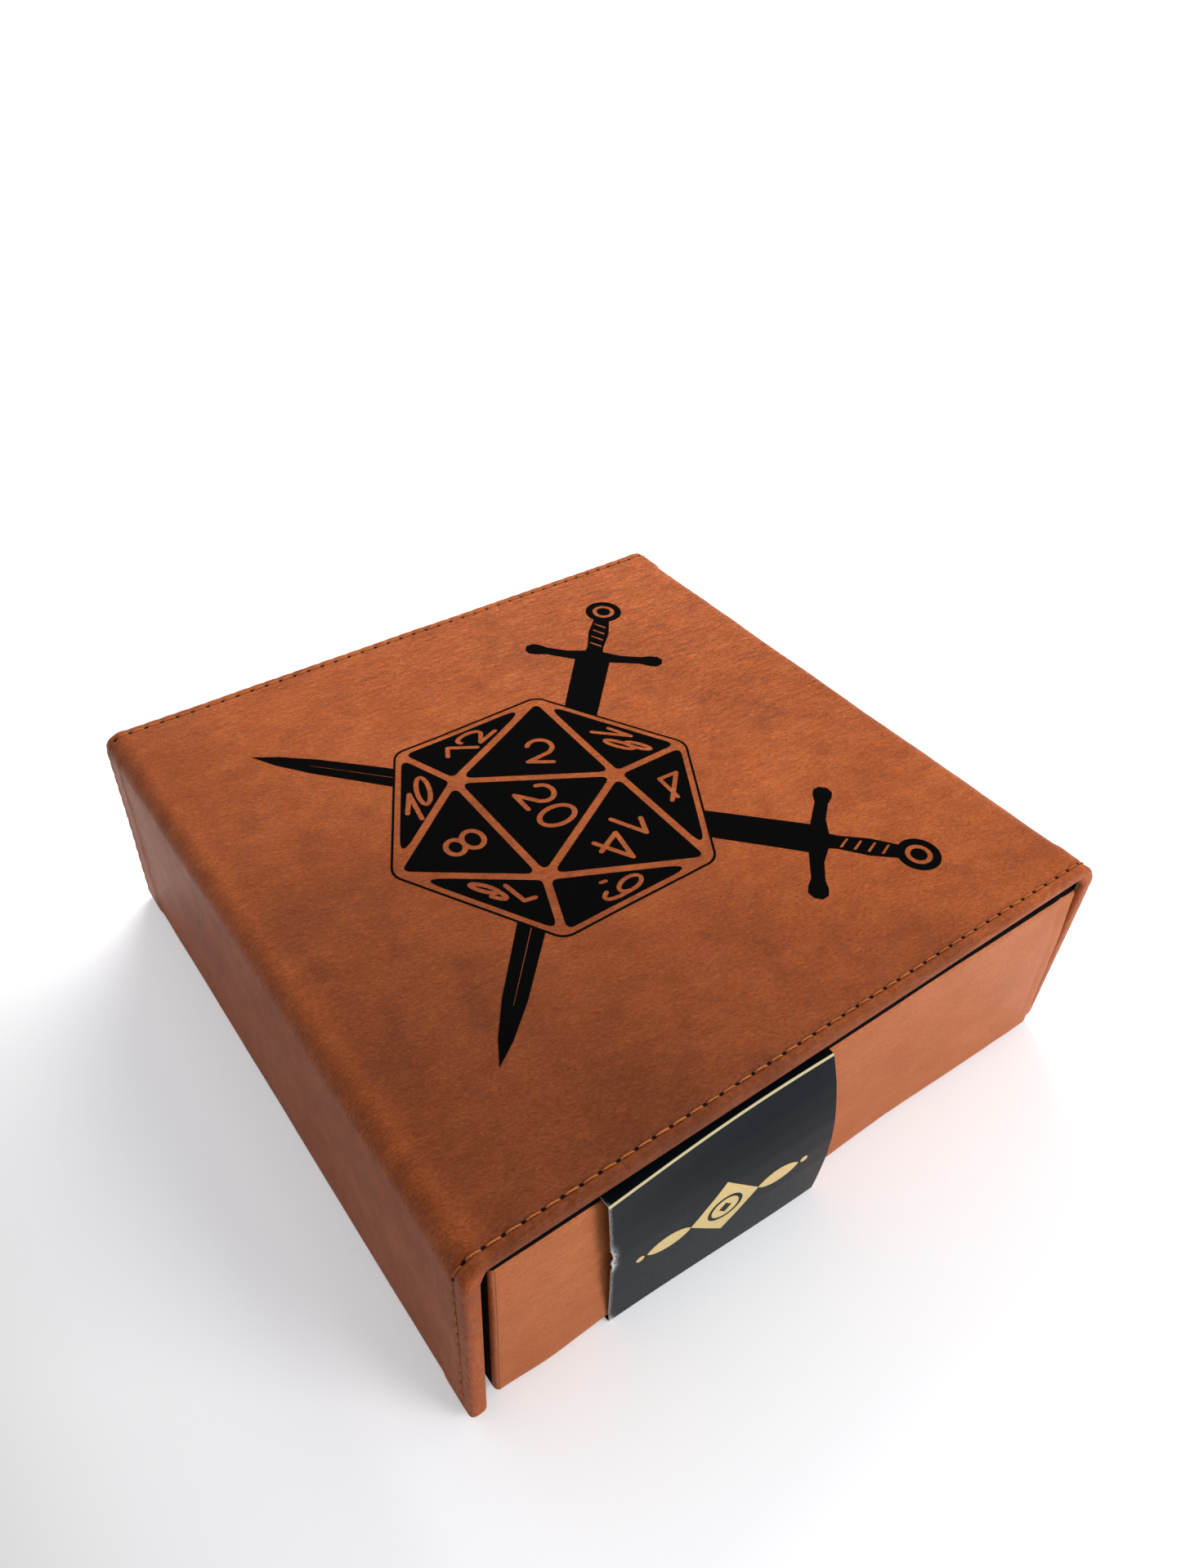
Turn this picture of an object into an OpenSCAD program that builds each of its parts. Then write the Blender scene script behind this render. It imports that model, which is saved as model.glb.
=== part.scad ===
// Book-style folding dice tray: a padded cover (spine, lid and magnetic flap) wrapped over a
// velvet-lined rolling tray, with a paper band round the tray.
// Frame: origin at the bottom centre of the closed box, +X towards the spine, -X towards the flap,
// -Y towards the front wall, +Z up. Millimetres.

/* [Cover] */
// Width of the closed box across flap and spine
cover_w = 208; // [170:1:250]
// Depth of the closed box along the creases
cover_d = 208; // [170:1:250]
// Height of the closed box
cover_h = 70; // [56:1:90]
// Thickness of the padded lid
lid_t = 6; // [6:0.5:8]
// Thickness of the flap and of the spine panel
panel_t = 4.4; // [4.4:0.1:5.2]
// Outer radius of the folds between the panels
fold_r = 6; // [6:0.5:8]
// Rounding of the rolled front and rear edges of the lid
lid_edge_r = 2.6; // [2.4:0.1:2.8]
// Rounding of the rolled edges of the flap and the spine
panel_edge_r = 2; // [1.6:0.1:2.1]
// Leatherette left showing round the velvet on the inner faces
turn_in = 2.9; // [2.9:0.1:6]

/* [Tray] */
// Gap between the flap and the tray's flap-side wall
flap_gap = 2.6; // [1.5:0.1:4]
// How far the tray's front and rear walls sit back from the cover's edges
recess = 1.7; // [1.4:0.1:4]
// Thickness of the wall boards
wall_t = 3; // [2.5:0.5:4]
// Thickness of the floor board
floor_t = 3; // [2:0.5:4]
// Thickness of the foam under the rolling surface
pad_t = 3; // [2:0.5:5]
// Rounding of the tray's upright corners
tray_corner_r = 3; // [2:0.5:3]

/* [Coverings] */
// Thickness of the leatherette
leather_t = 1.2; // [1.2:0.1:1.4]
// Thickness of the velvet lining
velvet_t = 0.8; // [0.6:0.1:1]
// Thickness of the foam over the lid board
lid_foam_t = 1; // [0.8:0.1:1]

/* [Stitching] */
// Distance from one stitch to the next
stitch_pitch = 5; // [4:0.5:6]
// Distance of the seam from the cover's edge
seam_inset = 3.7; // [3.6:0.1:5]
// Radius of the thread
thread_r = 0.35; // [0.25:0.05:0.35]

/* [Closure] */
// Radius of the magnets and of their steel keepers
magnet_r = 6; // [4:0.5:8]
// Thickness of the magnets and keepers
magnet_t = 1.5; // [1:0.1:1.5]
// Distance of each magnet from the middle of the flap
magnet_y = 52; // [30:1:70]
// Height of the magnets above the table
magnet_z = 18; // [12:1:30]

/* [Paper band] */
// Width of the band along the front wall
band_w = 69; // [40:1:90]
// Middle of the band, measured from the middle of the box
band_x = -31.5; // [-45:1:45]
// Thickness of the band's card
band_t = 0.35; // [0.3:0.05:0.4]

/* [Hidden] */
$fn = 64;

LEATHER = [0.62, 0.33, 0.18];
BOARD = [0.58, 0.53, 0.46];
VELVET = [0.04, 0.04, 0.045];
THREAD = [0.45, 0.2, 0.08];
CREASE = [0.58, 0.3, 0.16];

SIDES = [-1, 1];
glue = 0.05;                      // clearance between one layer and the next
over = 1;                         // how far cutters and trimming shapes run past a face
board_inset = leather_t + glue;   // boards, in from the outside of their leatherette

// cover
half_w = cover_w / 2;
half_d = cover_d / 2;
lid_z = cover_h - lid_t;          // underside of the lid
crease_z = cover_h - fold_r;      // top of the flap and of the spine panel
crease_x = half_w - fold_r;       // ends of the lid
foot_z = 0.3;                     // underside of the flap and the spine panel
foot_corner_r = 3;                // rounding of the panels' bottom corners, seen along X

// tray
band_gap = 0.1;                   // between the tray and the band
tray_z = band_t + band_gap;       // underside of the tray
tray_top = lid_z - 0.8;
tray_x0 = -half_w + panel_t + flap_gap;
tray_x1 = half_w - panel_t - glue;
tray_y = half_d - recess;
tray_edge_r = 2.4;                // rounding of the rim and of the bottom edges
wall_inset = board_inset + wall_t;                // inner face of the wall boards
velvet_inset = wall_inset + glue;                 // back of the wall velvet
well_inset = velvet_inset + velvet_t + glue;      // clear of the wall velvet
floor_z = tray_z + 0.7;           // underside of the floor board
pad_z = floor_z + floor_t + glue;
velvet_z = pad_z + pad_t + glue;
rim_z = tray_top - leather_t;     // underside of the leatherette turned over the rim
underside_margin = 10;            // leatherette showing round the underside sheet

// rectangle with round corners, from one corner to the other
module rrect(x0, y0, x1, y1, r) {
    translate([x0 + r, y0]) square([x1 - x0 - 2 * r, y1 - y0]);
    translate([x0, y0 + r]) square([x1 - x0, y1 - y0 - 2 * r]);
    for (x = [x0 + r, x1 - r], y = [y0 + r, y1 - r]) translate([x, y]) circle(r);
}
// a section drawn as (Y, Z), carried from x0 to x1
module along_x(x0, x1)
    translate([x0, 0, 0]) rotate([90, 0, 90]) linear_extrude(x1 - x0) children();
// a section drawn as (X, Z), carried from y0 to y1
module along_y(y0, y1)
    translate([0, y1, 0]) rotate([90, 0, 0]) linear_extrude(y1 - y0) children();
// a section drawn as (X, Y), carried from z0 to z1
module along_z(z0, z1) translate([0, 0, z0]) linear_extrude(z1 - z0) children();
// block from one corner to the other
module block(x0, y0, z0, x1, y1, z1)
    translate([x0, y0, z0]) cube([x1 - x0, y1 - y0, z1 - z0]);

// ---- magnets, keepers and their pockets ----
disc_gap = 0.1;                   // round and behind a disc in its pocket

// two discs on X axes, reaching from x towards +X
module disc_pair(x, r = magnet_r, h = magnet_t)
    for (s = SIDES) translate([x, s * magnet_y, magnet_z])
        rotate([0, 90, 0]) cylinder(r = r, h = h);
module disc_pockets(x) disc_pair(x, magnet_r + disc_gap, magnet_t + over + disc_gap);

// ---- tray ----
// block set in by the same amount from all four sides of the tray
module tray_block(inset, z0, z1)
    block(tray_x0 + inset, -tray_y + inset, z0, tray_x1 - inset, tray_y - inset, z1);
// full-width wall board with its front face at y0
module cross_board(y0)
    block(tray_x0 + board_inset, y0, floor_z, tray_x1 - board_inset, y0 + wall_t, rim_z - glue);
// wall board fitted between the cross boards, starting at x0
module side_board(x0)
    block(x0, -tray_y + velvet_inset, floor_z, x0 + wall_t, tray_y - velvet_inset, rim_z - glue);

module tray_outside() intersection() {
    along_z(tray_z - over, tray_top + over)
        rrect(tray_x0, -tray_y, tray_x1, tray_y, tray_corner_r);
    along_x(tray_x0 - over, tray_x1 + over)
        rrect(-tray_y, tray_z, tray_y, tray_top, tray_edge_r);
    along_y(-tray_y - over, tray_y + over)
        rrect(tray_x0, tray_z, tray_x1, tray_top, tray_edge_r);
}
module tray_leather_wrap() color(LEATHER) difference() {
    tray_outside();
    tray_block(leather_t, floor_z - glue, rim_z);
    tray_block(velvet_inset, rim_z - over, tray_top + over);
    tray_block(underside_margin, tray_z - over, floor_z);
}
module tray_underside_sheet() color([0.12, 0.11, 0.1])
    tray_block(underside_margin + glue, tray_z, floor_z - 2 * glue);
module tray_floor_board() color([0.55, 0.5, 0.43])
    tray_block(velvet_inset, floor_z, floor_z + floor_t);
module tray_front_board() color(BOARD) cross_board(-tray_y + board_inset);
module tray_rear_board() color(BOARD) cross_board(tray_y - wall_inset);
module tray_flap_side_board() color(BOARD) difference() {
    side_board(tray_x0 + board_inset);
    disc_pockets(tray_x0 + board_inset - over);
}
module tray_spine_side_board() color(BOARD) side_board(tray_x1 - wall_inset);
module keeper_discs() color([0.7, 0.71, 0.72]) disc_pair(tray_x0 + board_inset);
module well_wall_velvet() color(VELVET) difference() {
    // stops a little below the rim
    tray_block(velvet_inset, pad_z, tray_top - 0.2);
    tray_block(well_inset - glue, pad_z - over, tray_top + over);
}
module well_floor_foam() color([0.3, 0.3, 0.32]) tray_block(well_inset, pad_z, pad_z + pad_t);
module well_floor_velvet() color([0.05, 0.05, 0.055])
    tray_block(well_inset, velvet_z, velvet_z + velvet_t);

// ---- seams ----
seam_y = half_d - seam_inset;
groove_depth = 2 * thread_r + 0.05;
groove_w = 1;
groove_foot_z = 5;                // lower end of the upright grooves
stitch_foot_z = 6;                // height the upright stitches stay above
stitch_start = 0.6;               // from the crease down to the first stitch's space
stitch_gap = 1.4;                 // between one stitch and the next
stitch_len = stitch_pitch - stitch_gap;
thread_depth = groove_depth - thread_r - 0.02;    // thread's axis, just clear of the groove floor
thread_fn = 16;

// ---- upright panels of the cover: the flap as drawn, the spine as its mirror image ----
panel_x = -half_w + panel_t;      // inner face
panel_cavity_x = -half_w + leather_t;
panel_board_x = -half_w + board_inset;
flap_velvet_x = panel_x - velvet_t;
flap_board_x1 = flap_velvet_x - glue;

// block set in by the same amount from the panel's front, rear and bottom edges
module panel_block(x0, x1, inset, top = crease_z)
    block(x0, -half_d + inset, foot_z + inset, x1, half_d - inset, top);

module panel_outside() {
    // the sections run on above the crease, so that the top edge is cut square
    section_top = cover_h + 10;
    intersection() {
        along_z(foot_z - over, crease_z) rrect(-half_w, -half_d, panel_x, half_d, panel_edge_r);
        along_y(-half_d - over, half_d + over)
            rrect(-half_w, foot_z, panel_x, section_top, panel_edge_r);
        along_x(-half_w - over, panel_x + over)
            rrect(-half_d, foot_z, half_d, section_top, foot_corner_r);
    }
}
module upright_grooves() for (s = SIDES)
    block(-half_w - over, s * seam_y - groove_w / 2, groove_foot_z,
        -half_w + groove_depth, s * seam_y + groove_w / 2, crease_z + over);
module upright_stitches() {
    n = floor((crease_z - stitch_foot_z) / stitch_pitch);
    top = crease_z - stitch_start + stitch_gap / 2;
    for (s = SIDES, i = [0 : n - 1])
        translate([-half_w + thread_depth, s * seam_y, top - stitch_pitch * (i + 1)])
            cylinder(r = thread_r, h = stitch_len, $fn = thread_fn);
}
module flap_leather() color(LEATHER) difference() {
    panel_outside();
    panel_block(panel_cavity_x, flap_velvet_x, leather_t, crease_z + over);
    panel_block(panel_cavity_x, panel_x + over, turn_in, crease_z + over);
    upright_grooves();
}
module flap_board() color(BOARD) difference() {
    panel_block(panel_board_x, flap_board_x1, board_inset);
    disc_pockets(flap_board_x1 - magnet_t - disc_gap);
}
module flap_magnets() color([0.78, 0.79, 0.8]) disc_pair(flap_board_x1 - magnet_t);
module flap_velvet() color(VELVET) panel_block(flap_velvet_x, panel_x, turn_in + glue);
module flap_stitching() color(THREAD) upright_stitches();
module spine_leather() color(LEATHER) mirror([1, 0, 0]) difference() {
    panel_outside();
    panel_block(panel_cavity_x, panel_x + over, leather_t, crease_z + over);
    upright_grooves();
}
module spine_board() color(BOARD) mirror([1, 0, 0])
    panel_block(panel_board_x, panel_x, board_inset);
module spine_stitching() color(THREAD) mirror([1, 0, 0]) upright_stitches();

// ---- creases ----
crease_end = 0.6;                 // creases stop short of the cover's front and rear edges
moving_cut = 0.45;                // cut back at the end that the moving panel passes

// quarter of a tube of leatherette on the spine side: cut_x trims its lid end, cut_z its panel end
module crease(cut_x, cut_z) along_y(-half_d + crease_end, half_d - crease_end) intersection() {
    difference() {
        translate([crease_x, crease_z]) circle(fold_r);
        translate([crease_x, crease_z]) circle(fold_r - leather_t);
    }
    translate([crease_x + cut_x, crease_z + cut_z]) square(fold_r + over);
}
module spine_crease() color(CREASE) crease(moving_cut, glue);
module flap_crease() color(CREASE) mirror([1, 0, 0]) crease(glue, moving_cut);

// ---- lid ----
lid_cavity_z = lid_z + velvet_t + glue;
lid_cavity_top = cover_h - leather_t;
lid_foam_top = lid_cavity_top - glue;
lid_foam_z = lid_foam_top - lid_foam_t;
lid_opening_h = 2;                // cut for the velvet, reaching up into the cavity

// block set in by the same amount from the lid's front and rear edges
module lid_block(inset, z0, z1, half_x = crease_x)
    block(-half_x, -half_d + inset, z0, half_x, half_d - inset, z1);

module lid_leather() color(LEATHER) difference() {
    along_x(-crease_x, crease_x) rrect(-half_d, lid_z, half_d, cover_h, lid_edge_r);
    lid_block(leather_t, lid_cavity_z, lid_cavity_top, half_w);
    lid_block(turn_in, lid_z - over, lid_z + lid_opening_h, half_w);
    for (s = SIDES)
        block(-half_w, s * seam_y - groove_w / 2, cover_h - groove_depth,
            half_w, s * seam_y + groove_w / 2, cover_h + over);
}
module lid_foam() color([0.75, 0.74, 0.7]) lid_block(board_inset, lid_foam_z, lid_foam_top);
module lid_board() color(BOARD) lid_block(board_inset, lid_cavity_z + glue, lid_foam_z - glue);
module lid_velvet() color(VELVET) lid_block(turn_in + glue, lid_z, lid_z + velvet_t);
module lid_stitching() color(THREAD) {
    n = floor(2 * crease_x / stitch_pitch);
    for (s = SIDES, i = [0 : n - 1])
        translate([(i - (n - 1) / 2) * stitch_pitch, s * seam_y, cover_h - thread_depth])
            rotate([0, 90, 0])
                cylinder(r = thread_r, h = stitch_len, center = true, $fn = thread_fn);
}

// ---- paper band: a closed loop over, under, in front of and behind the tray ----
band_outer_r = 0.6;
band_inner_r = 0.3;
band_y = tray_y + band_gap;       // inner faces of the band
band_top = tray_top + band_gap;

module paper_band() color([0.08, 0.08, 0.09])
    along_x(band_x - band_w / 2, band_x + band_w / 2) difference() {
        rrect(-band_y - band_t, 0, band_y + band_t, band_top + band_t, band_outer_r);
        rrect(-band_y, band_t, band_y, band_top, band_inner_r);
    }

tray_floor_board();
tray_front_board();
tray_rear_board();
tray_flap_side_board();
tray_spine_side_board();
tray_leather_wrap();
tray_underside_sheet();
well_wall_velvet();
well_floor_foam();
well_floor_velvet();
keeper_discs();
spine_board();
spine_leather();
spine_stitching();
spine_crease();
lid_board();
lid_foam();
lid_leather();
lid_velvet();
lid_stitching();
flap_crease();
flap_board();
flap_leather();
flap_velvet();
flap_magnets();
flap_stitching();
paper_band();
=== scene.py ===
"""A book-like box: a leatherette cover of flap, lid and spine round a velvet-lined tray.

The flap is on -x, the spine on +x, the front on -y and the rear on +y. The box stands on z = 0.
A paper band goes round the tray. Crossed swords and a twenty-sided die are engraved on the lid.
Lengths are in millimetres up to the floor, lights and camera, which are in metres.
"""
from math import acos, atan2, ceil, cos, pi, radians, sin, sqrt, tan
import bmesh
import bpy
import numpy as np
from mathutils import Matrix, Vector
from mathutils.geometry import delaunay_2d_cdt


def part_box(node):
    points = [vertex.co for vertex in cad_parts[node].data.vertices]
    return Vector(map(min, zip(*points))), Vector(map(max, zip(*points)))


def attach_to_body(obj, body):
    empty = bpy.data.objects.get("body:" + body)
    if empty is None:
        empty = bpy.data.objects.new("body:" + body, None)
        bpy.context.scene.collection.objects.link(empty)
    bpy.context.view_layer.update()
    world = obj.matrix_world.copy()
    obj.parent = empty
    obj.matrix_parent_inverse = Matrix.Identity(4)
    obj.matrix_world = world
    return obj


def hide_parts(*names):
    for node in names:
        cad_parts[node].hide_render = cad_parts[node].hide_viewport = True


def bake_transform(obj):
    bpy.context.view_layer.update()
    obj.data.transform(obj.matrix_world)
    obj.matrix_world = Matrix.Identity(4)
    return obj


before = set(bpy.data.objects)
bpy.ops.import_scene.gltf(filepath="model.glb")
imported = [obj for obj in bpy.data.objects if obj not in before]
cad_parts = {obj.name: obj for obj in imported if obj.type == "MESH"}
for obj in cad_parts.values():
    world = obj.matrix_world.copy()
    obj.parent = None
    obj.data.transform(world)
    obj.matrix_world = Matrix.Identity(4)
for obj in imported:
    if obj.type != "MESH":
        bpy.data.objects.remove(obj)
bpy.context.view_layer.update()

scene = bpy.context.scene


# ------------------------------------------------------------------ sizes, in mm
def mm_box(node):
    low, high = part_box(node)
    return np.array(low) * 1000, np.array(high) * 1000


lid_low, lid_high = mm_box("lid_leather")
flap_low, flap_high = mm_box("flap_leather")
tray_low, tray_high = mm_box("tray_leather_wrap")
band_low, band_high = mm_box("paper_band")
pad_low, pad_high = mm_box("well_floor_velvet")
well_low, well_high = mm_box("well_wall_velvet")

FOLD_X = lid_high[0]                        # end of the lid board, where each fold starts
SPINE_X = mm_box("spine_leather")[1][0]     # outer face of the spine
HALF_DEPTH = lid_high[1]                    # front and rear edges of the cover
LID_TOP = lid_high[2]
LID_UNDER = lid_low[2]
FOLD_RADIUS = SPINE_X - FOLD_X              # outer radius of the folds
PANEL = flap_high[0] - flap_low[0]          # thickness of the upright panels
# s runs over the cover's outer face: 0 mid-lid, negative to the flap's foot, positive to the spine's
FOLD_END = FOLD_X + FOLD_RADIUS * pi / 2
FOOT = FOLD_END + (LID_UNDER - flap_low[2])
SPLIT = FOLD_X - 6.0                        # where the folding pieces take over from the lid piece
SEAM_INSET = 3.7                            # seam from the front or rear edge
PITCH = 4.92                                # needle hole to needle hole
FIRST_HOLE = -101.7                         # s of the hole the pitch counts from
LINING_Y = HALF_DEPTH - 4.1                 # half depth of the cover's velvet
LINING_CORNER = 1.1                         # radius of the velvet in the inner corners
LID_FILL = (90.5, 99.2)                     # half sizes of the lid's board and foam
WALL_CORNER = 1.3                           # radius of the tray's upright corners
BAND_THICK = 0.35


# ------------------------------------------------------------------ helpers
def wave(p, q, length, seed, count=9, spread=0.45):
    """Smooth random field in about -1..1, summed from plane waves of about one length."""
    rng = np.random.RandomState(seed)
    total = np.zeros(np.broadcast(p, q).shape)
    for _ in range(count):
        heading, phase = rng.uniform(0, 2 * pi, 2)
        k = 2 * pi / (length * rng.uniform(1 - spread, 1 + spread))
        total += np.sin(k * (cos(heading) * p + sin(heading) * q) + phase)
    return total / sqrt(count) / 1.3


def smoothstep(x, start, end):
    t = np.clip((x - start) / (end - start), 0, 1)
    return t * t * (3 - 2 * t)


def bell(x, width, power=2):
    return np.exp(-((x / width) ** power))


def quarter_round(t, least=0.0):
    """Height of a quarter circle: 0 at t = 0, 1 from t = 1 on."""
    return np.sqrt(np.clip(1 - (1 - np.clip(t, 0, 1)) ** 2, least, 1))


def run_length(points):
    return np.r_[0, np.cumsum(np.linalg.norm(np.diff(points, axis=0), axis=1))]


def with_ends(inset_steps, low, high, middle):
    """Grid lines from low to high: close steps near both ends, middle between."""
    steps = np.array(inset_steps)
    return np.concatenate([low + steps, middle, high - steps[::-1]])


def grid_faces(rows, cols, close_cols=False, close_rows=False, start=0, flip=False):
    r = np.arange(rows if close_rows else rows - 1)
    c = np.arange(cols if close_cols else cols - 1)
    R, C = np.meshgrid(r, c, indexing="ij")
    here, right = R * cols + C, R * cols + (C + 1) % cols
    below, across = ((R + 1) % rows) * cols + C, ((R + 1) % rows) * cols + (C + 1) % cols
    faces = np.stack([here, right, across, below], -1).reshape(-1, 4) + start
    return faces[:, ::-1] if flip else faces


def rounded_loop(x0, y0, x1, y1, radius, long_count, short_count, corner_count):
    """Points round a rectangle, and the side each is on: 0 front, 1 +x, 2 rear, 3 -x, 4 corner."""
    points, sides = [], []
    r = radius
    corners = [(x1 - r, y0 + r), (x1 - r, y1 - r), (x0 + r, y1 - r), (x0 + r, y0 + r)]
    straights = [((x0 + r, y0), (x1 - r, y0), long_count), ((x1, y0 + r), (x1, y1 - r), short_count),
                 ((x1 - r, y1), (x0 + r, y1), long_count), ((x0, y1 - r), (x0, y0 + r), short_count)]
    for side, ((a, b, count), centre) in enumerate(zip(straights, corners)):
        for t in np.linspace(0, 1, count, endpoint=False):
            points.append((a[0] + (b[0] - a[0]) * t, a[1] + (b[1] - a[1]) * t))
        for t in np.linspace(0, pi / 2, corner_count, endpoint=False):
            turn = (side - 1) * pi / 2 + t
            points.append((centre[0] + r * cos(turn), centre[1] + r * sin(turn)))
        sides += [side] * count + [4] * corner_count
    return np.array(points), np.array(sides)


def face_outward(mesh, sharp_caps):
    """Turns every face outward. Sharp caps stop the big end faces from bending the shading."""
    bm = bmesh.new()
    bm.from_mesh(mesh)
    bmesh.ops.recalc_face_normals(bm, faces=bm.faces)
    if sharp_caps:
        for face in bm.faces:
            if len(face.verts) > 4:
                for edge in face.edges:
                    edge.smooth = False
    bm.to_mesh(mesh)
    bm.free()
    mesh.update()


def build(name, verts, faces, materials, attrs, face_materials=None, orient=True, sharp_caps=False):
    """Makes an object from vertices in mm. Attributes hold one or three numbers per vertex."""
    mesh = bpy.data.meshes.new(name)
    verts = np.asarray(verts, float).reshape(-1, 3)
    mesh.vertices.add(len(verts))
    mesh.vertices.foreach_set("co", (verts * 0.001).astype(np.float32).ravel())
    sizes = np.array([len(face) for face in faces], int)
    mesh.loops.add(int(sizes.sum()))
    mesh.loops.foreach_set("vertex_index", np.concatenate(faces).astype(np.int32))
    mesh.polygons.add(len(sizes))
    starts = np.concatenate([[0], np.cumsum(sizes)[:-1]])
    mesh.polygons.foreach_set("loop_start", starts.astype(np.int32))
    for material in materials:
        mesh.materials.append(material)
    mesh.update(calc_edges=True)
    mesh.validate()
    if face_materials is not None:
        mesh.polygons.foreach_set("material_index", np.asarray(face_materials, np.int32))
    mesh.polygons.foreach_set("use_smooth", np.full(len(mesh.polygons), True))
    for key, values in attrs.items():
        values = np.asarray(values, np.float32)
        kind, field = "FLOAT", "value"
        if values.size == 3 * len(verts):
            kind, field = "FLOAT_VECTOR", "vector"
        mesh.attributes.new(key, kind, "POINT").data.foreach_set(field, values.ravel())
    obj = bpy.data.objects.new(name, mesh)
    scene.collection.objects.link(obj)
    if orient:
        face_outward(mesh, sharp_caps)
    return obj


def build_double_sheet(name, top, bottom, material, places):
    """A thin solid between two grids of points, closed round its four edges."""
    rows, cols = top.shape[:2]
    k = rows * cols
    faces = grid_faces(rows, cols).tolist() + grid_faces(rows, cols, start=k, flip=True).tolist()
    rim = []
    for i in range(rows - 1):
        rim.append((i * cols, (i + 1) * cols))
        rim.append(((i + 1) * cols + cols - 1, i * cols + cols - 1))
    for j in range(cols - 1):
        rim.append((j + 1, j))
        rim.append(((rows - 1) * cols + j, (rows - 1) * cols + j + 1))
    faces += [[a, b, b + k, a + k] for a, b in rim]
    verts = np.concatenate([top.reshape(-1, 3), bottom.reshape(-1, 3)])
    return build(name, verts, faces, [material], {"lc": places})


def attach(obj, part):
    """Ties an object to the lid; for any other part it only bakes the object's transform into its mesh.
    """
    if part == "lid":
        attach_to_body(obj, "lid")
    else:
        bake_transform(obj)


def mount(obj, body, node):
    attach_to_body(obj, body)
    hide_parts(node)


# ------------------------------------------------------------------ material kit
class Graph:
    """Short calls that add and link shader nodes."""

    def __init__(self, tree):
        self.tree = tree

    def put(self, socket, value):
        if isinstance(value, bpy.types.NodeSocket):
            self.tree.links.new(value, socket)
        elif value is not None:
            if isinstance(value, tuple) and len(value) == 3 and socket.type == "RGBA":
                value = (*value, 1)
            socket.default_value = value

    def node(self, kind, inputs=None, **props):
        node = self.tree.nodes.new("ShaderNode" + kind)
        for key, value in props.items():
            setattr(node, key, value)
        for key, value in (inputs or {}).items():
            self.put(node.inputs[key], value)
        return node

    def vector(self, name):
        return self.node("Attribute", attribute_name=name).outputs["Vector"]

    def weight(self, name):
        return self.node("Attribute", attribute_name=name).outputs["Fac"]

    def math(self, operation, a, b=None, c=None):
        return self.node("Math", {0: a, 1: b, 2: c}, operation=operation).outputs[0]

    def plus(self, a, b):
        return self.math("ADD", a, b)

    def minus(self, a, b):
        return self.math("SUBTRACT", a, b)

    def times(self, a, b):
        return self.math("MULTIPLY", a, b)

    def weighted(self, *terms):
        """Sum of (value, weight) pairs."""
        total = self.times(*terms[0])
        for term in terms[1:]:
            total = self.plus(total, self.times(*term))
        return total

    def mapped(self, v, stretch, turn=0.0):
        """Coordinates stretched by axis and turned about z. No stretch leaves them alone."""
        if stretch is None:
            return v
        return self.node("Mapping", {"Vector": v, "Scale": stretch, "Rotation": (0, 0, turn)}).outputs[0]

    def noise(self, v, scale, detail=3.0, rough=0.55, warp=0.0, stretch=None, turn=0.0):
        return self.node("TexNoise", {"Vector": self.mapped(v, stretch, turn), "Scale": scale,
                                      "Detail": detail, "Roughness": rough,
                                      "Distortion": warp}).outputs["Fac"]

    def cells(self, v, scale, feature="F1", stretch=None, turn=0.0):
        return self.node("TexVoronoi", {"Vector": self.mapped(v, stretch, turn), "Scale": scale},
                         feature=feature).outputs["Distance"]

    def ramp(self, factor, stops):
        node = self.node("ValToRGB", {"Fac": factor})
        elements = node.color_ramp.elements
        while len(elements) < len(stops):
            elements.new(0.5)
        for element, (position, colour) in zip(elements, stops):
            element.position = position
            element.color = (*colour, 1)
        return node.outputs[0]

    def remap(self, value, span, to=(0.0, 1.0), smooth=False):
        return self.node("MapRange", {"Value": value, "From Min": span[0], "From Max": span[1],
                                      "To Min": to[0], "To Max": to[1]},
                         interpolation_type="SMOOTHSTEP" if smooth else "LINEAR").outputs[0]

    def mix(self, factor, a, b):
        return self.node("Mix", {0: factor, 6: a, 7: b}, data_type="RGBA").outputs[2]

    def bump(self, height, distance, strength=1.0, normal=None):
        return self.node("Bump", {"Strength": strength, "Distance": distance, "Height": height,
                                  "Normal": normal}).outputs[0]

    def split(self, v):
        return self.node("SeparateXYZ", {"Vector": v}).outputs


class Material(Graph):
    """A material with one principled shader."""

    def __init__(self, name):
        self.material = bpy.data.materials.new(name)
        self.material.use_nodes = True
        super().__init__(self.material.node_tree)
        self.tree.nodes.clear()
        output = self.node("OutputMaterial")
        self.shader = self.node("BsdfPrincipled")
        self.tree.links.new(self.shader.outputs[0], output.inputs[0])

    def finish(self, **inputs):
        for key, value in inputs.items():
            self.put(self.shader.inputs[key.replace("_", " ")], value)
        return self.material


def tint(colour, gain):
    return tuple(min(1, x * gain) for x in colour)


# ------------------------------------------------------------------ materials
# Attributes: lc is a place on the surface in mm, edge the wear, shade the darker places, random
# blotches and painted shade, and wrinkle the strength of the creases and of their painted highlight.
GRAIN_TURN = 0.63


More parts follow.
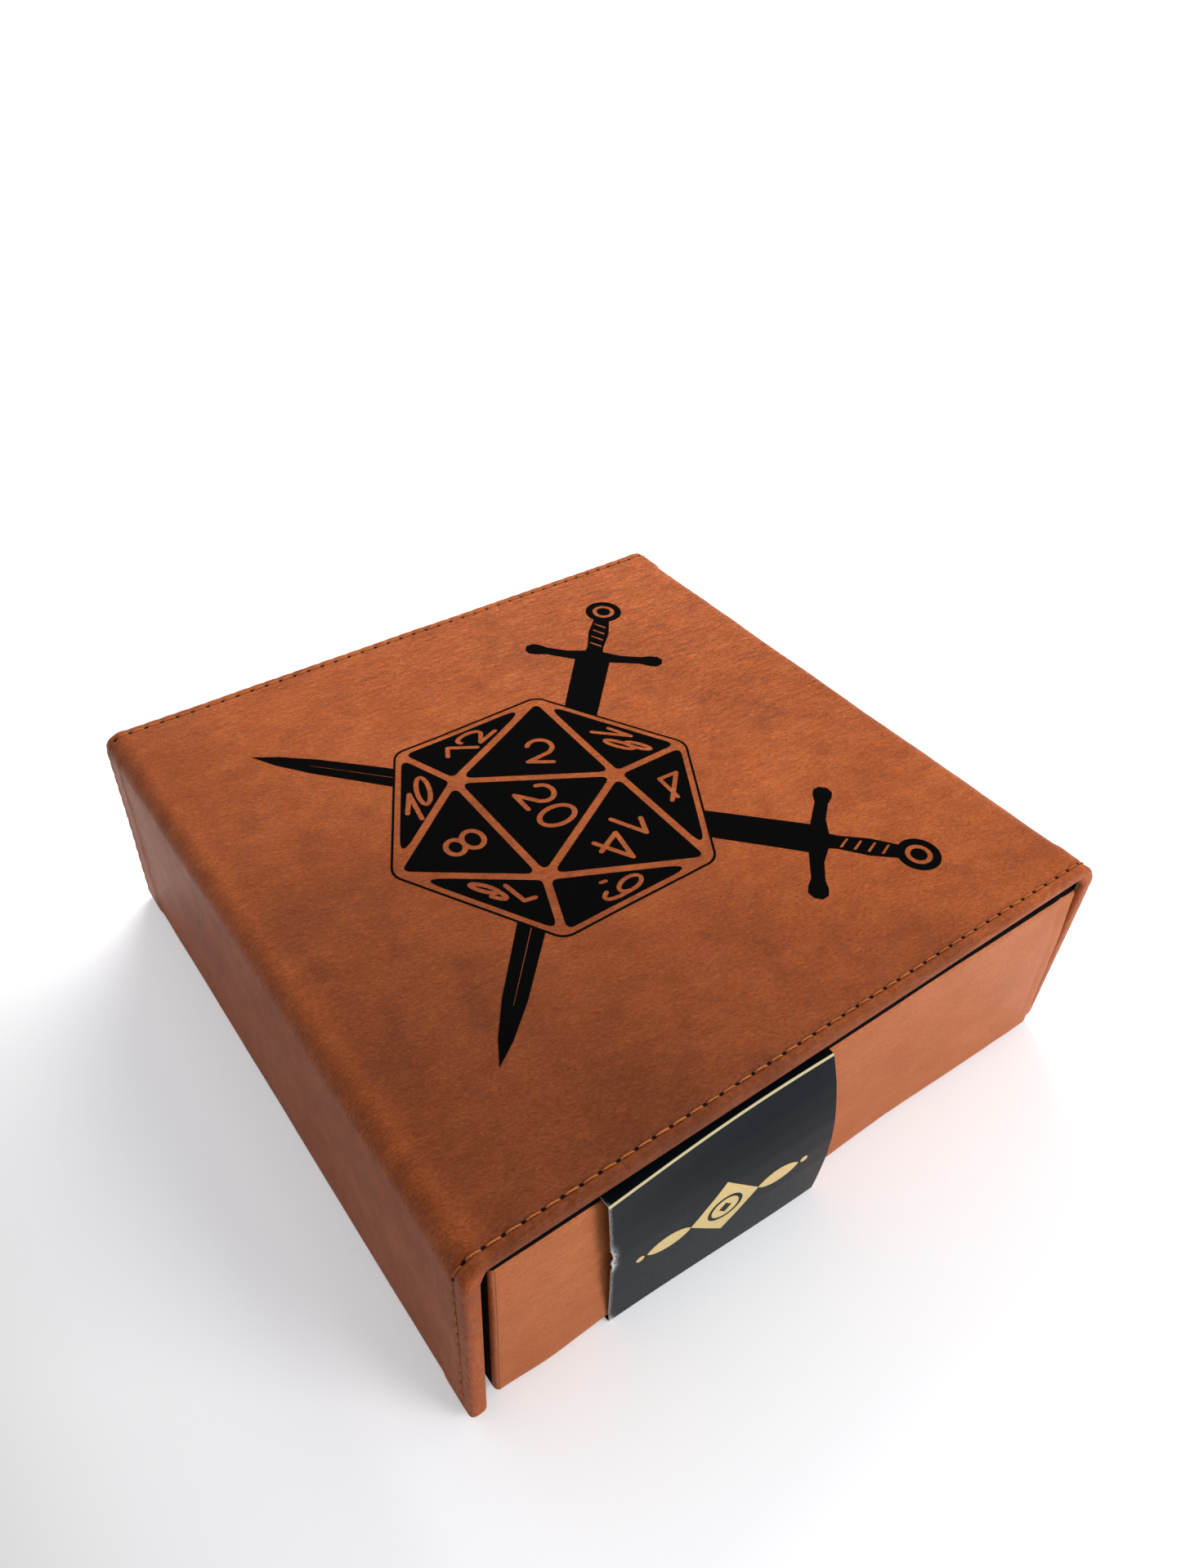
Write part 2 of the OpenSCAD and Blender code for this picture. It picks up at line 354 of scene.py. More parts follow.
def needle_holes(g, place, dark, colour, rough, normal):
    """Adds the groove and the needle holes of the cover's seams, both darkened with painted shade."""
    along, across, _ = g.split(place)
    count = g.math("DIVIDE", g.minus(along, FIRST_HOLE), PITCH)
    off_hole = g.times(g.minus(g.math("FRACT", g.plus(count, 0.5)), 0.5), PITCH)
    off_seam = g.minus(g.math("ABSOLUTE", across), HALF_DEPTH - SEAM_INSET)
    ragged = g.times(g.minus(g.noise(place, scale=1.9, detail=2, rough=0.5), 0.5), 0.9)
    # holes are ellipses with these radii in mm
    radius_along, radius_across = 0.70, 0.46
    ellipse = g.math("SQRT", g.plus(
        g.math("POWER", g.math("DIVIDE", off_hole, radius_along), 2.0),
        g.math("POWER", g.math("DIVIDE", off_seam, radius_across), 2.0)))
    ellipse = g.plus(ellipse, ragged)
    hole = g.remap(ellipse, span=(1.05, 0.70), smooth=True)
    sewn = g.remap(g.math("ABSOLUTE", along), span=(160.5, 160.0))
    hole = g.times(hole, sewn)
    # painted shade along the seam's groove, where the thread sits
    painted_groove_shade = g.remap(g.math("ABSOLUTE", off_seam), span=(0.75, 0.2), to=(0.0, 0.26), smooth=True)
    colour = g.mix(g.times(painted_groove_shade, sewn), colour, tint(dark, 0.35))
    # painted shade: the needle holes are painted near black
    colour = g.mix(hole, colour, (0.006, 0.003, 0.002))
    rough = g.plus(rough, g.times(hole, 0.4))
    normal = g.bump(g.times(hole, -1.0), distance=0.00045, normal=normal)
    return colour, rough, normal


def leather(name, dark, mid, light, blotch_and_shade=0.72, wrinkle=1.0, seams=False):
    g = Material(name)
    place = g.vector("lc")
    big = g.noise(place, scale=0.024, detail=3, rough=0.55, warp=0.3, stretch=(1, 1, 1), turn=0.3)
    medium = g.noise(place, scale=0.13, detail=5, rough=0.66, warp=0.3,
                     stretch=(0.7, 1.2, 1), turn=GRAIN_TURN)
    fine = g.noise(place, scale=1.05, detail=4, rough=0.72, warp=0.25,
                   stretch=(0.62, 1.5, 1), turn=GRAIN_TURN)
    speck = g.noise(place, scale=3.1, detail=2, rough=0.6)
    tone = g.weighted((big, 0.16), (medium, 0.27), (fine, 0.57))
    colour = g.ramp(g.remap(tone, span=(0.33, 0.67)),
                    [(0.0, dark), (0.45, mid), (0.8, light), (1.0, tint(light, 1.15))])
    # small light flecks and dark pores
    fleck = g.noise(place, scale=1.9, detail=3, rough=0.75, stretch=(0.7, 1.5, 1), turn=GRAIN_TURN)
    colour = g.mix(g.remap(fleck, span=(0.57, 0.72), to=(0, 0.55)), colour, tint(light, 1.5))
    pore = g.remap(g.cells(place, scale=1.15), span=(0.0, 0.26), to=(0.48, 0.0))
    colour = g.mix(pore, colour, tint(dark, 0.5))
    # lighter where it rolls over an edge
    patches = g.noise(place, scale=0.22, detail=4, rough=0.6)
    worn = g.times(g.weight("edge"), g.remap(patches, span=(0.42, 0.68), to=(0.15, 0.95)))
    colour = g.mix(g.times(worn, 0.24), colour, tint(light, 1.45))
    # darker where the shade weight is high: random blotches, painted shade towards the lid's front
    # corner at the flap, and darker towards the bottom of the tray's wall
    colour = g.mix(g.times(g.weight("shade"), blotch_and_shade), colour, tint(dark, 0.42))
    # creases run where a stretched noise crosses its middle value
    level = g.noise(place, scale=0.40, detail=4, rough=0.58, warp=1.3,
                    stretch=(0.42, 1.55, 1), turn=GRAIN_TURN)
    crease = g.remap(g.math("ABSOLUTE", g.minus(level, 0.5)), span=(0.0, 0.07), smooth=True)
    creasing = g.weight("wrinkle")
    line = g.times(g.minus(1.0, crease), creasing)
    # painted highlight: the crease lines are painted lighter, most where the wrinkle weight is high
    colour = g.mix(g.times(line, 0.34 * wrinkle), colour, tint(light, 1.45))
    pebbles = g.cells(place, scale=1.6, feature="SMOOTH_F1", stretch=(0.75, 1.2, 1), turn=GRAIN_TURN)
    height = g.weighted((pebbles, 0.55), (fine, 0.5), (g.times(crease, creasing), 0.95 * wrinkle),
                        (speck, 0.22))
    normal = g.bump(height, distance=0.00026)
    rough = g.plus(g.remap(fine, span=(0.3, 0.7), to=(0.38, 0.54)),
                   g.times(g.remap(big, span=(0.35, 0.65)), -0.05))
    if seams:
        colour, rough, normal = needle_holes(g, place, dark, colour, rough, normal)
    return g.finish(Base_Color=colour, Roughness=rough, Normal=normal, Specular_IOR_Level=0.19)


def velvet_material(name):
    g = Material(name)
    place = g.vector("lc")
    pile = g.noise(place, scale=5.5, detail=4, rough=0.8)
    nap = g.noise(place, scale=0.045, detail=3, rough=0.55, warp=0.8)
    brush = g.noise(place, scale=0.6, detail=4, rough=0.6, stretch=(1, 0.25, 1), turn=0.5)
    colour = g.ramp(g.weighted((nap, 0.6), (brush, 0.4)),
                    [(0.3, (0.0022, 0.0022, 0.0026)), (0.7, (0.0075, 0.0075, 0.0088))])
    colour = g.mix(g.remap(pile, span=(0.62, 0.8), to=(0, 0.6)), colour, (0.03, 0.03, 0.034))
    lint = g.remap(g.cells(place, scale=0.22, stretch=(1, 0.35, 1), turn=0.9),
                   span=(0.0, 0.05), to=(1.0, 0.0))
    gathered = g.noise(place, scale=0.4, detail=1, rough=0.5)
    lint = g.times(lint, g.remap(gathered, span=(0.52, 0.6)))
    colour = g.mix(lint, colour, (0.42, 0.42, 0.4))
    normal = g.bump(g.plus(pile, g.times(brush, 0.6)), distance=0.00022, strength=0.9)
    return g.finish(Base_Color=colour, Roughness=0.95, Normal=normal, Specular_IOR_Level=0.06,
                    Sheen_Weight=0.05, Sheen_Roughness=0.35, Sheen_Tint=(0.75, 0.78, 0.85))


def plain(name, low, high, scale, rough, relief=0.0001, stretch=(1, 1, 1), metal=0.0, spec=0.5,
          on_surface=False):
    """Two tones mixed by noise, placed by the lc attribute or by the object's own millimetres."""
    g = Material(name)
    if on_surface:
        place = g.vector("lc")
    else:
        place = g.mapped(g.node("TexCoord").outputs["Object"], (1000, 1000, 1000))
    place = g.mapped(place, stretch)
    coarse = g.noise(place, scale=scale, detail=5, rough=0.65)
    fine = g.noise(place, scale=scale * 7, detail=3, rough=0.7)
    tone = g.weighted((coarse, 0.65), (fine, 0.35))
    colour = g.ramp(tone, [(0.32, low), (0.68, high)])
    roughness = g.remap(fine, span=(0.3, 0.7), to=(rough - 0.06, rough + 0.06))
    return g.finish(Base_Color=colour, Roughness=roughness, Metallic=metal,
                    Normal=g.bump(tone, distance=relief, strength=0.8), Specular_IOR_Level=spec)


def thread_material():
    g = Material("thread")
    place = g.vector("lc")                  # x along the stitch, y round the strand
    ply = g.noise(place, scale=1.0, detail=3, rough=0.6, stretch=(2.2, 14, 1), turn=0.5)
    tone = g.noise(place, scale=0.05, detail=2, rough=0.5)
    colour = g.ramp(g.weighted((ply, 0.6), (tone, 0.4)),
                    [(0.3, (0.22, 0.055, 0.009)), (0.5, (0.50, 0.150, 0.030)),
                     (0.75, (0.80, 0.31, 0.075))])
    return g.finish(Base_Color=colour, Roughness=0.42, Specular_IOR_Level=0.25,
                    Normal=g.bump(ply, distance=0.00006, strength=0.8))


def engraving_material():
    g = Material("engraving")
    place = g.vector("lc")
    tone = g.noise(place, scale=2.6, detail=3, rough=0.7)
    colour = g.ramp(tone, [(0.35, (0.0009, 0.0008, 0.0008)), (0.62, (0.0030, 0.0026, 0.0024))])
    # painted glints: small lighter spots in the black
    painted_glint = g.remap(g.cells(place, scale=1.6), span=(0.0, 0.085), to=(1.0, 0.0))
    painted_glint = g.times(painted_glint, g.remap(g.noise(place, scale=0.9, detail=1), span=(0.5, 0.62)))
    colour = g.mix(g.times(painted_glint, 0.55), colour, (0.14, 0.11, 0.10))
    height = g.noise(place, scale=1.15, detail=4, rough=0.7, warp=0.2,
                     stretch=(0.6, 1.5, 1), turn=GRAIN_TURN)
    return g.finish(Base_Color=colour, Roughness=g.remap(tone, span=(0.3, 0.7), to=(0.7, 0.85)),
                    Normal=g.bump(height, distance=0.00009, strength=0.7), Specular_IOR_Level=0.02)


def card_material():
    g = Material("band_card")
    place = g.vector("lc")                  # x along the tray, y round the band
    wear = g.weight("edge")
    fine = g.noise(place, scale=0.9, detail=4, rough=0.7)
    big = g.noise(place, scale=0.03, detail=3, rough=0.6, warp=0.5)
    colour = g.ramp(big, [(0.3, (0.0022, 0.0042, 0.0068)), (0.7, (0.0045, 0.0072, 0.0108))])
    dust = g.times(g.remap(g.cells(place, scale=0.33), span=(0.0, 0.045), to=(1.0, 0.0)),
                   g.remap(g.noise(place, scale=0.12, detail=2), span=(0.5, 0.64)))
    colour = g.mix(g.times(dust, 0.35), colour, (0.35, 0.37, 0.38))
    # foil line along the upper front fold
    _, down, _ = g.split(place)
    gold = g.remap(g.math("ABSOLUTE", g.minus(down, 0.16)), span=(0.20, 0.13))
    colour = g.mix(gold, colour, (0.62, 0.55, 0.30))
    ragged = g.noise(place, scale=1.6, detail=4, rough=0.8)
    chip = g.times(wear, g.remap(ragged, span=(0.44, 0.50)))
    colour = g.mix(chip, colour, (0.80, 0.80, 0.77))
    rough = g.plus(g.remap(fine, span=(0.3, 0.7), to=(0.30, 0.38)), g.times(chip, 0.5))
    height = g.weighted((fine, 0.4), (chip, 1.5))
    return g.finish(Base_Color=colour, Roughness=rough, Specular_IOR_Level=0.10,
                    Normal=g.bump(height, distance=0.00003, strength=0.5),
                    Specular_Tint=(0.72, 0.86, 1.0))


def foil_material():
    g = Material("gold_foil")
    tone = g.noise(g.vector("lc"), scale=1.3, detail=4, rough=0.7)
    colour = g.ramp(tone, [(0.35, (0.74, 0.52, 0.18)), (0.65, (0.88, 0.68, 0.30))])
    return g.finish(Base_Color=colour, Roughness=g.remap(tone, span=(0.3, 0.7), to=(0.30, 0.42)),
                    Metallic=0.25, Normal=g.bump(tone, distance=0.00002, strength=0.6))


cover_leather = leather("cover_leatherette", dark=(0.190, 0.0350, 0.0052),
                        mid=(0.328, 0.0675, 0.0110), light=(0.468, 0.1130, 0.0230), seams=True)
tray_leather = leather("tray_leatherette", dark=(0.38, 0.098, 0.024), mid=(0.455, 0.125, 0.034),
                       light=(0.535, 0.160, 0.048), blotch_and_shade=0.4, wrinkle=0.4)
velvet = velvet_material("black_velvet")
greyboard = plain("greyboard", low=(0.20, 0.17, 0.13), high=(0.36, 0.31, 0.25), scale=1.4, rough=0.9)
foam = plain("foam", low=(0.30, 0.29, 0.26), high=(0.52, 0.50, 0.46), scale=2.4, rough=0.95,
             relief=0.0003)
base_paper = plain("base_paper", low=(0.008, 0.008, 0.009), high=(0.026, 0.025, 0.027), scale=1.1,
                   rough=0.75, relief=0.00008, spec=0.3)
steel = plain("keeper_steel", low=(0.45, 0.46, 0.47), high=(0.62, 0.63, 0.65), scale=0.8,
              rough=0.35, relief=0.00003, stretch=(1, 1, 12), metal=1.0)
plating = plain("magnet_plating", low=(0.62, 0.62, 0.63), high=(0.8, 0.8, 0.81), scale=0.6,
                rough=0.18, relief=0.00002, metal=1.0)
card_core = plain("card_core", low=(0.55, 0.54, 0.52), high=(0.86, 0.85, 0.82), scale=3.0,
                  rough=0.9, relief=0.0002, on_surface=True)
thread = thread_material()
engraved = engraving_material()
card = card_material()
foil = foil_material()

# the frame's own pieces that stay as they are
kept_nodes = {
    greyboard: ("tray_floor_board", "tray_front_board", "tray_rear_board", "tray_flap_side_board",
                "tray_spine_side_board", "spine_board", "lid_board", "flap_board"),
    foam: ("lid_foam", "well_floor_foam"),
    base_paper: ("tray_underside_sheet",),
    steel: ("keeper_discs",),
    plating: ("flap_magnets",),
}
for material, nodes in kept_nodes.items():
    for node in nodes:
        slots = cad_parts[node].data.materials
        slots.clear()
        slots.append(material)

# ------------------------------------------------------------------ the cover's leatherette
LID_REACH, PANEL_REACH = HALF_DEPTH - 0.3, HALF_DEPTH + 0.5     # y of the rolled edges
LID_ROLL, PANEL_ROLL = 2.5, 2.2                                 # radii of the rolled edges
LID_FEATHER = 1.9                # the lid's underside is feathered up this much at its edge
ROLL_STEPS = 11
# distances of the outer face's columns from the edge
COLUMN_OFFSETS = np.concatenate([np.arange(3.15, 4.9, 0.22), [5.2, 5.8, 6.6, 7.6, 8.8],
                                 np.arange(10.2, HALF_DEPTH - 0.4, 1.42)])


def cover_path(s):
    """Outer point (x, z), inner point (x, z) and outward normal (x, z) at s."""
    s = np.asarray(s, float)
    a = np.abs(s)
    side = np.where(s < 0, -1.0, 1.0)
    turn = np.clip((a - FOLD_X) / FOLD_RADIUS, 0, pi / 2)
    lid = a <= FOLD_X
    fold = (a > FOLD_X) & (a <= FOLD_END)
    hinge_z = LID_TOP - FOLD_RADIUS
    x = np.where(lid, a, np.where(fold, FOLD_X + FOLD_RADIUS * np.sin(turn), SPINE_X))
    z = np.where(lid, LID_TOP, np.where(fold, hinge_z + FOLD_RADIUS * np.cos(turn),
                                        hinge_z - (a - FOLD_END)))
    inner_x = np.where(lid, a, FOLD_X + (SPINE_X - PANEL - FOLD_X) * smoothstep(turn, 0, pi / 2))
    inner_z = np.where(lid | fold, LID_UNDER, z)
    normal_x = np.where(lid, 0, np.where(fold, np.sin(turn), 1.0))
    normal_z = np.where(lid, 1.0, np.where(fold, np.cos(turn), 0.0))
    return x * side, z, inner_x * side, inner_z, normal_x * side, normal_z


def relief(s, y):
    """How far the outer face stands out of the plain panels."""
    s, y = np.broadcast_arrays(np.asarray(s, float), np.asarray(y, float))
    margin = HALF_DEPTH - np.abs(y)
    a = np.abs(s)
    on_lid = 1 - smoothstep(a, FOLD_X - 14, FOLD_X + 2)
    # padded away from the edges
    height = 0.30 * (1 - np.exp(-np.clip(margin - 4, 0, None) / 7.0)) * (0.35 + 0.65 * on_lid)
    # broad and small undulations, calmer round the engraving, and creases to the spine and rear
    calm = 1 - 0.75 * bell(s + 9, 70, 4) * bell(y - 2, 70, 4)
    height = height + 0.10 * wave(s, y, 62, 3) + 0.045 * wave(s, y, 21, 5) * calm
    back = smoothstep(s + y * 0.8, 20, 150)
    creases = wave(s * 0.8 + y * 0.6, (y * 0.8 - s * 0.6) * 2.2, 9, 8)
    height = height + 0.035 * creases * (0.25 + back) * calm
    # the doubled leatherette of the turn-in steps up near the edges of the upright panels
    turn_in = (1 - smoothstep(margin, 11.0, 13.5)) * smoothstep(a, FOLD_X - 3, FOLD_X + 6)
    height = height + 0.46 * turn_in + 0.10 * (1 - smoothstep(margin, 10, 15)) * on_lid
    # the seam sinks, most of all at the needle holes, and the leatherette puffs on both sides
    off_seam = margin - SEAM_INSET
    off_hole = (((s - FIRST_HOLE) / PITCH + 0.5) % 1 - 0.5) * PITCH
    sink = 0.30 * bell(off_seam, 0.75) + 0.34 * bell(off_hole, 0.8) * bell(off_seam, 0.7)
    ripple = 1 + 0.22 * np.cos(2 * pi * (off_hole / PITCH + 0.5))
    puff = 0.10 * bell(off_seam + 1.7, 1.2) * ripple + 0.08 * bell(off_seam - 1.6, 0.9)
    height = height + (puff - sink) * (a < FOOT - 3.5)
    return height * (1 - 0.6 * smoothstep(a, FOOT - 4, FOOT))


def on_cover(s, y, height):
    """Points at a height over the cover's outer face."""
    x, z, _, _, normal_x, normal_z = cover_path(s)
    out = relief(s, y) + height
    return np.stack(np.broadcast_arrays(x + normal_x * out, y, z + normal_z * out), -1)


def edge_reach(s):
    """Half depth of the cover at s, less the rounded corners at the feet."""
    a = abs(s)
    reach = LID_REACH + (PANEL_REACH - LID_REACH) * smoothstep(a, FOLD_X - 1, FOLD_END)
    reach = reach - 0.65 * smoothstep(a, FOLD_END, FOOT) * (s > 0)
    to_foot = max(FOOT - a, 0)
    corner = 5.0 if s > 0 else 3.2
    if to_foot < corner:
        reach = reach - (corner - sqrt(max(corner ** 2 - (corner - to_foot) ** 2, 0)))
    return float(reach)


def cover_section(s):
    """One section round the cover at s: its points, their (s, y) places and the edge weight."""
    x, z, inner_x, inner_z, normal_x, normal_z = [float(v) for v in cover_path(s)]
    a = abs(s)
    to_foot = FOOT - a
    reach = edge_reach(s)
    roll = LID_ROLL + (PANEL_ROLL - LID_ROLL) * float(smoothstep(a, FOLD_X - 1, FOLD_END))
    half = PANEL / 2
    if to_foot < half:              # at the foot both faces close on the middle of the panel
        height = sqrt(max(half * half - (half - to_foot) ** 2, 0.0))
        middle = (x + inner_x) / 2
        side = 1 if s > 0 else -1
        x, inner_x = middle + side * height, middle - side * height
        k = (half - to_foot) / half
        normal_x, normal_z = side * sqrt(max(1 - k * k, 0)), -k
        roll = max(roll * height / half, 0.02)
    roll_y = reach - roll
    feather = LID_FEATHER * (1 - float(smoothstep(a, FOLD_X - 1, FOLD_END)))

    # outer face, its columns kept inside the rolled ends
    columns = np.array([-(HALF_DEPTH - offset) for offset in COLUMN_OFFSETS])
    columns = np.concatenate([columns, [0.0], -columns[::-1]])
    last = HALF_DEPTH - COLUMN_OFFSETS[0]
    if roll_y < last:
        size = np.abs(columns)
        pulled = size - (last - roll_y + 0.02) * smoothstep(size, HALF_DEPTH - 14, last)
        columns = np.where(size > HALF_DEPTH - 14, np.sign(columns) * pulled, columns)
    out = relief(s, columns)
    count = len(columns)
    face = (np.stack([x + normal_x * out, columns, z + normal_z * out], 1),
            np.stack([np.full(count, s), columns], 1), np.zeros(count))

    # rolled ends, squarer at the folds and panels than along the lid
    edge_out = float(out[-1])
    power = 0.85 - 0.22 * float(smoothstep(a, FOLD_X - 4, FOLD_END))

    def rolled_end(side, phi):
        cosine = np.cos(phi)
        across = (1 - np.sign(cosine) * np.abs(cosine) ** power) / 2
        fade = np.clip(cosine, 0, 1) ** 0.8
        end_x = x + (inner_x - x) * across + normal_x * edge_out * fade
        end_z = z + (inner_z + feather - z) * across + normal_z * edge_out * fade
        end_y = side * (roll_y + roll * np.sin(phi) ** power)
        places = np.stack([np.full(len(phi), s), side * (roll_y + roll * phi * 1.1)], 1)
        return np.stack([end_x, end_y, end_z], 1), places, np.sin(phi) ** 0.6

    # inner face, from rear to front
    steps = [roll_y - 0.5, roll_y - 1.0, roll_y - 1.7]
    inner_y = np.concatenate([steps, np.linspace(roll_y - 3, -(roll_y - 3), 18),
                              [-y for y in steps[::-1]]])
    rise = feather * (1 - smoothstep(roll_y - np.abs(inner_y), 0, 1.7))
    count = len(inner_y)
    inner = (np.stack([np.full(count, inner_x), inner_y, inner_z + rise], 1),
             np.stack([np.full(count, s), HALF_DEPTH * 2 + roll * pi - inner_y], 1),
             np.zeros(count))
    phi = np.linspace(0, pi, ROLL_STEPS + 2)[1:]
    parts = [face, rolled_end(1, phi), inner, rolled_end(-1, phi[::-1])]
    return [np.concatenate(column) for column in zip(*parts)]


def cover_shade(s, y):
    """Soft darker places at random, and painted shade that grows towards the lid's front corner at the
    flap.
    """
    spots = (0.20 * smoothstep(wave(s, y, 55, 21), 0.1, 1.1)
             + 0.18 * smoothstep(wave(s, y, 17, 23), 0.3, 1.2))
    on_lid = 1 - smoothstep(np.abs(s), FOLD_X - 6, FOLD_END)
    # painted shade, growing towards the lid's front corner at the flap
    corner = smoothstep(-s * 0.78 - y * 0.62, -35, 125) * on_lid
    return np.clip(spots + 0.92 * corner, 0, 1)


def build_cover(name, stations):
    points, places, edge = zip(*[cover_section(s) for s in stations])
    n = len(points[0])
    places = np.concatenate(places)
    s, y = places.T
    base = (len(stations) - 1) * n
    faces = grid_faces(len(stations), n, close_cols=True).tolist()
    faces += [list(range(n)), list(range(base, base + n))[::-1]]
    attrs = {"lc": np.column_stack([places, np.zeros(len(places))]), "edge": np.concatenate(edge),
             "shade": cover_shade(s, y), "wrinkle": 0.25 + 0.75 * smoothstep(s * 0.9 + y, -20, 150)}
    return build(name, np.concatenate(points), faces, [cover_leather], attrs, sharp_caps=True)


def stations_between(start, end, step):
    return np.linspace(start, end, max(2, int(ceil(abs(end - start) / step)) + 1))


foot_stations = FOOT - (PANEL / 2) * (1 - np.cos(np.linspace(0, pi / 2, 9)))[::-1]
spine_stations = np.concatenate([
    stations_between(SPLIT, FOLD_X, 0.6),
    stations_between(FOLD_X, FOLD_END, 0.55)[1:],
    stations_between(FOLD_END, FOOT - PANEL / 2, 0.66)[1:],
    np.clip(foot_stations, None, FOOT - 0.004)[1:]])
for part, stations, nodes in (
        ("lid", stations_between(-SPLIT, SPLIT, 0.62), ["lid_leather"]),
        ("spine", spine_stations, ["spine_leather", "spine_crease"]),
        ("flap", -spine_stations, ["flap_leather", "flap_crease"])):
    skin = build_cover(part + "_leatherette", stations)
    attach(skin, part)
    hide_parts(*nodes)

# ------------------------------------------------------------------ stitching
STITCH_GAP = 0.42                # from a needle hole's centre to the end of a stitch
STRAND_RADIUS = 0.155
STRAND_OFFSET = 0.12             # from the thread's centre line to each of its two strands
TWIST_LENGTH = 1.55


def build_stitches(name, numbers):
    """Stitches of two twisted strands along the front and rear seams."""
    rings, around = 17, 7
    t = np.linspace(0, 1, rings)[:, None]
    from_middle = 2 * t - 1
    angle = np.linspace(0, 2 * pi, around, endpoint=False)[None]
    radius = STRAND_RADIUS * (1 - 0.35 * np.abs(from_middle) ** 4)
    length = PITCH - 2 * STITCH_GAP
    verts, faces, places = [], [], []
    rng = np.random.RandomState(len(numbers) + 7)
    for side in (-1, 1):
        for number in numbers:
            slant = 0.10 + rng.uniform(-0.03, 0.03)
            arch = 0.40 + rng.uniform(-0.04, 0.04)
            height = arch * (1 - np.abs(from_middle) ** 3.0) - 0.22
            s = FIRST_HOLE + PITCH * number + STITCH_GAP + length * t
            centre_y = side * (HALF_DEPTH - SEAM_INSET) + slant * from_middle * side
            twist = 2 * pi * (t * length / TWIST_LENGTH) + rng.uniform(0, 6)
            for ply in (0, pi):
                y = centre_y + STRAND_OFFSET * np.cos(twist + ply) + radius * np.cos(angle)
                lift = height + STRAND_OFFSET * np.sin(twist + ply) + radius * np.sin(angle)
                base = len(verts) * rings * around
                points = on_cover(s, centre_y, lift)
                points[..., 1] = y
                verts.append(points)
                spots = np.broadcast_arrays(s, angle * 0.2 + ply, float(side))
                places.append(np.stack(spots, -1))
                faces += grid_faces(rings, around, close_cols=True, start=base).tolist()
                last = base + (rings - 1) * around
                faces += [list(range(base, base + around))[::-1], list(range(last, last + around))]
    return build(name, np.concatenate(verts), faces, [thread], {"lc": np.concatenate(places)},
                 orient=False)


numbers = np.arange(-60, 120)
middles = FIRST_HOLE + PITCH * (numbers + 0.5)
for part, chosen in (("lid", np.abs(middles) < SPLIT),
                     ("spine", (middles >= SPLIT) & (middles < FOOT - 5)),
                     ("flap", (middles <= -SPLIT) & (middles > -(FOOT - 5)))):
    seam = build_stitches(part + "_seam_thread", numbers[chosen])
    attach(seam, part)
    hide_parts(part + "_stitching")


# ------------------------------------------------------------------ linings and fillings of the cover
def build_lining(name, path, thick):
    """A strip of velvet along path, rows of x, z, normal x, normal z, with soft rounded edges."""
    x, z, normal_x, normal_z = np.array(path, float).T
    seg = run_length(np.column_stack([x, z]))
    middle = np.linspace(-LINING_Y + 2, LINING_Y - 2, int(LINING_Y * 2 / 2.0))
    ys = with_ends([0, 0.25, 0.6, 1.1], -LINING_Y, LINING_Y, middle)
    profile = quarter_round((LINING_Y - np.abs(ys)) / 1.1, least=0.02)
    row, y = np.meshgrid(np.arange(len(x)), ys, indexing="ij")
    height = thick * profile + 0.02 * wave(seg[row], y, 26, 31) * profile

    def sheet(out):
        return np.stack([x[row] + normal_x[row] * out, y, z[row] + normal_z[row] * out], -1)

    places = np.stack([seg[row].ravel() + 400, y.ravel(), np.zeros(y.size)], 1)
    places = np.concatenate([places, places + [0, 0, 5]])
    return build_double_sheet(name, sheet(height), sheet(-0.35), velvet, places)


def corner_path(inner_x, side, overlap, drops):
    """From the lid's underside round an inner corner and down a panel; side is -1 at the flap."""
    r = LINING_CORNER
    path = [(side * x, LID_UNDER, 0, -1) for x in overlap]
    path += [(side * (inner_x - r + r * sin(t)), LID_UNDER - r + r * cos(t), -side * sin(t), -cos(t))
             for t in np.linspace(0, pi / 2, 6)]
    return path + [(side * inner_x, z, -side, 0) for z in drops]


inner_x = SPINE_X - PANEL
overlap = np.linspace(SPLIT, inner_x - 1.6, 8)
lid_path = [(x, LID_UNDER, 0, -1) for x in np.linspace(-SPLIT, SPLIT, 90)]
flap_path = corner_path(inner_x, -1, overlap, np.linspace(LID_UNDER - 1.6, flap_low[2] + 3.3, 40))
spine_path = corner_path(inner_x, 1, overlap, np.linspace(LID_UNDER - 1.6, LID_UNDER - 3.2, 4))
for part, path, thick, nodes in (("lid", lid_path, 0.16, ["lid_velvet"]),
                                 ("flap", flap_path, 0.16, ["flap_velvet"]),
                                 ("spine", spine_path, 0.12, [])):
    lining = build_lining(part + "_velvet_lining", path, thick)
    attach(lining, part)
    if nodes:
        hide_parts(*nodes)


def build_slab(name, node, material, radius):
    """A sheet inside the lid, short of the creases and rolled edges, with soft cut edges."""
    low, high = mm_box(node)
    r = min(radius, (high[2] - low[2]) / 2 - 0.02)
    x, y = np.meshgrid(*[with_ends([0, r * 0.3, r], -half, half, np.linspace(-half + 3, half - 3, 50))
                         for half in LID_FILL], indexing="ij")
    margin = np.clip(np.minimum(LID_FILL[0] - np.abs(x), LID_FILL[1] - np.abs(y)) / r, 0, 1)
    cut = r * (1 - quarter_round(margin))
    dent = np.minimum(0.02 * wave(x, y, 30, 77) * margin, 0)
    top = np.stack([x, y, high[2] - cut + dent], -1)
    bottom = np.stack([x, y, low[2] + cut], -1)
    return build_double_sheet(name, top, bottom, material, np.concatenate([top, bottom]))


mount(build_slab("lid_greyboard", "lid_board", greyboard, 0.5), "lid", "lid_board")
mount(build_slab("lid_foam_sheet", "lid_foam", foam, 0.4), "lid", "lid_foam")


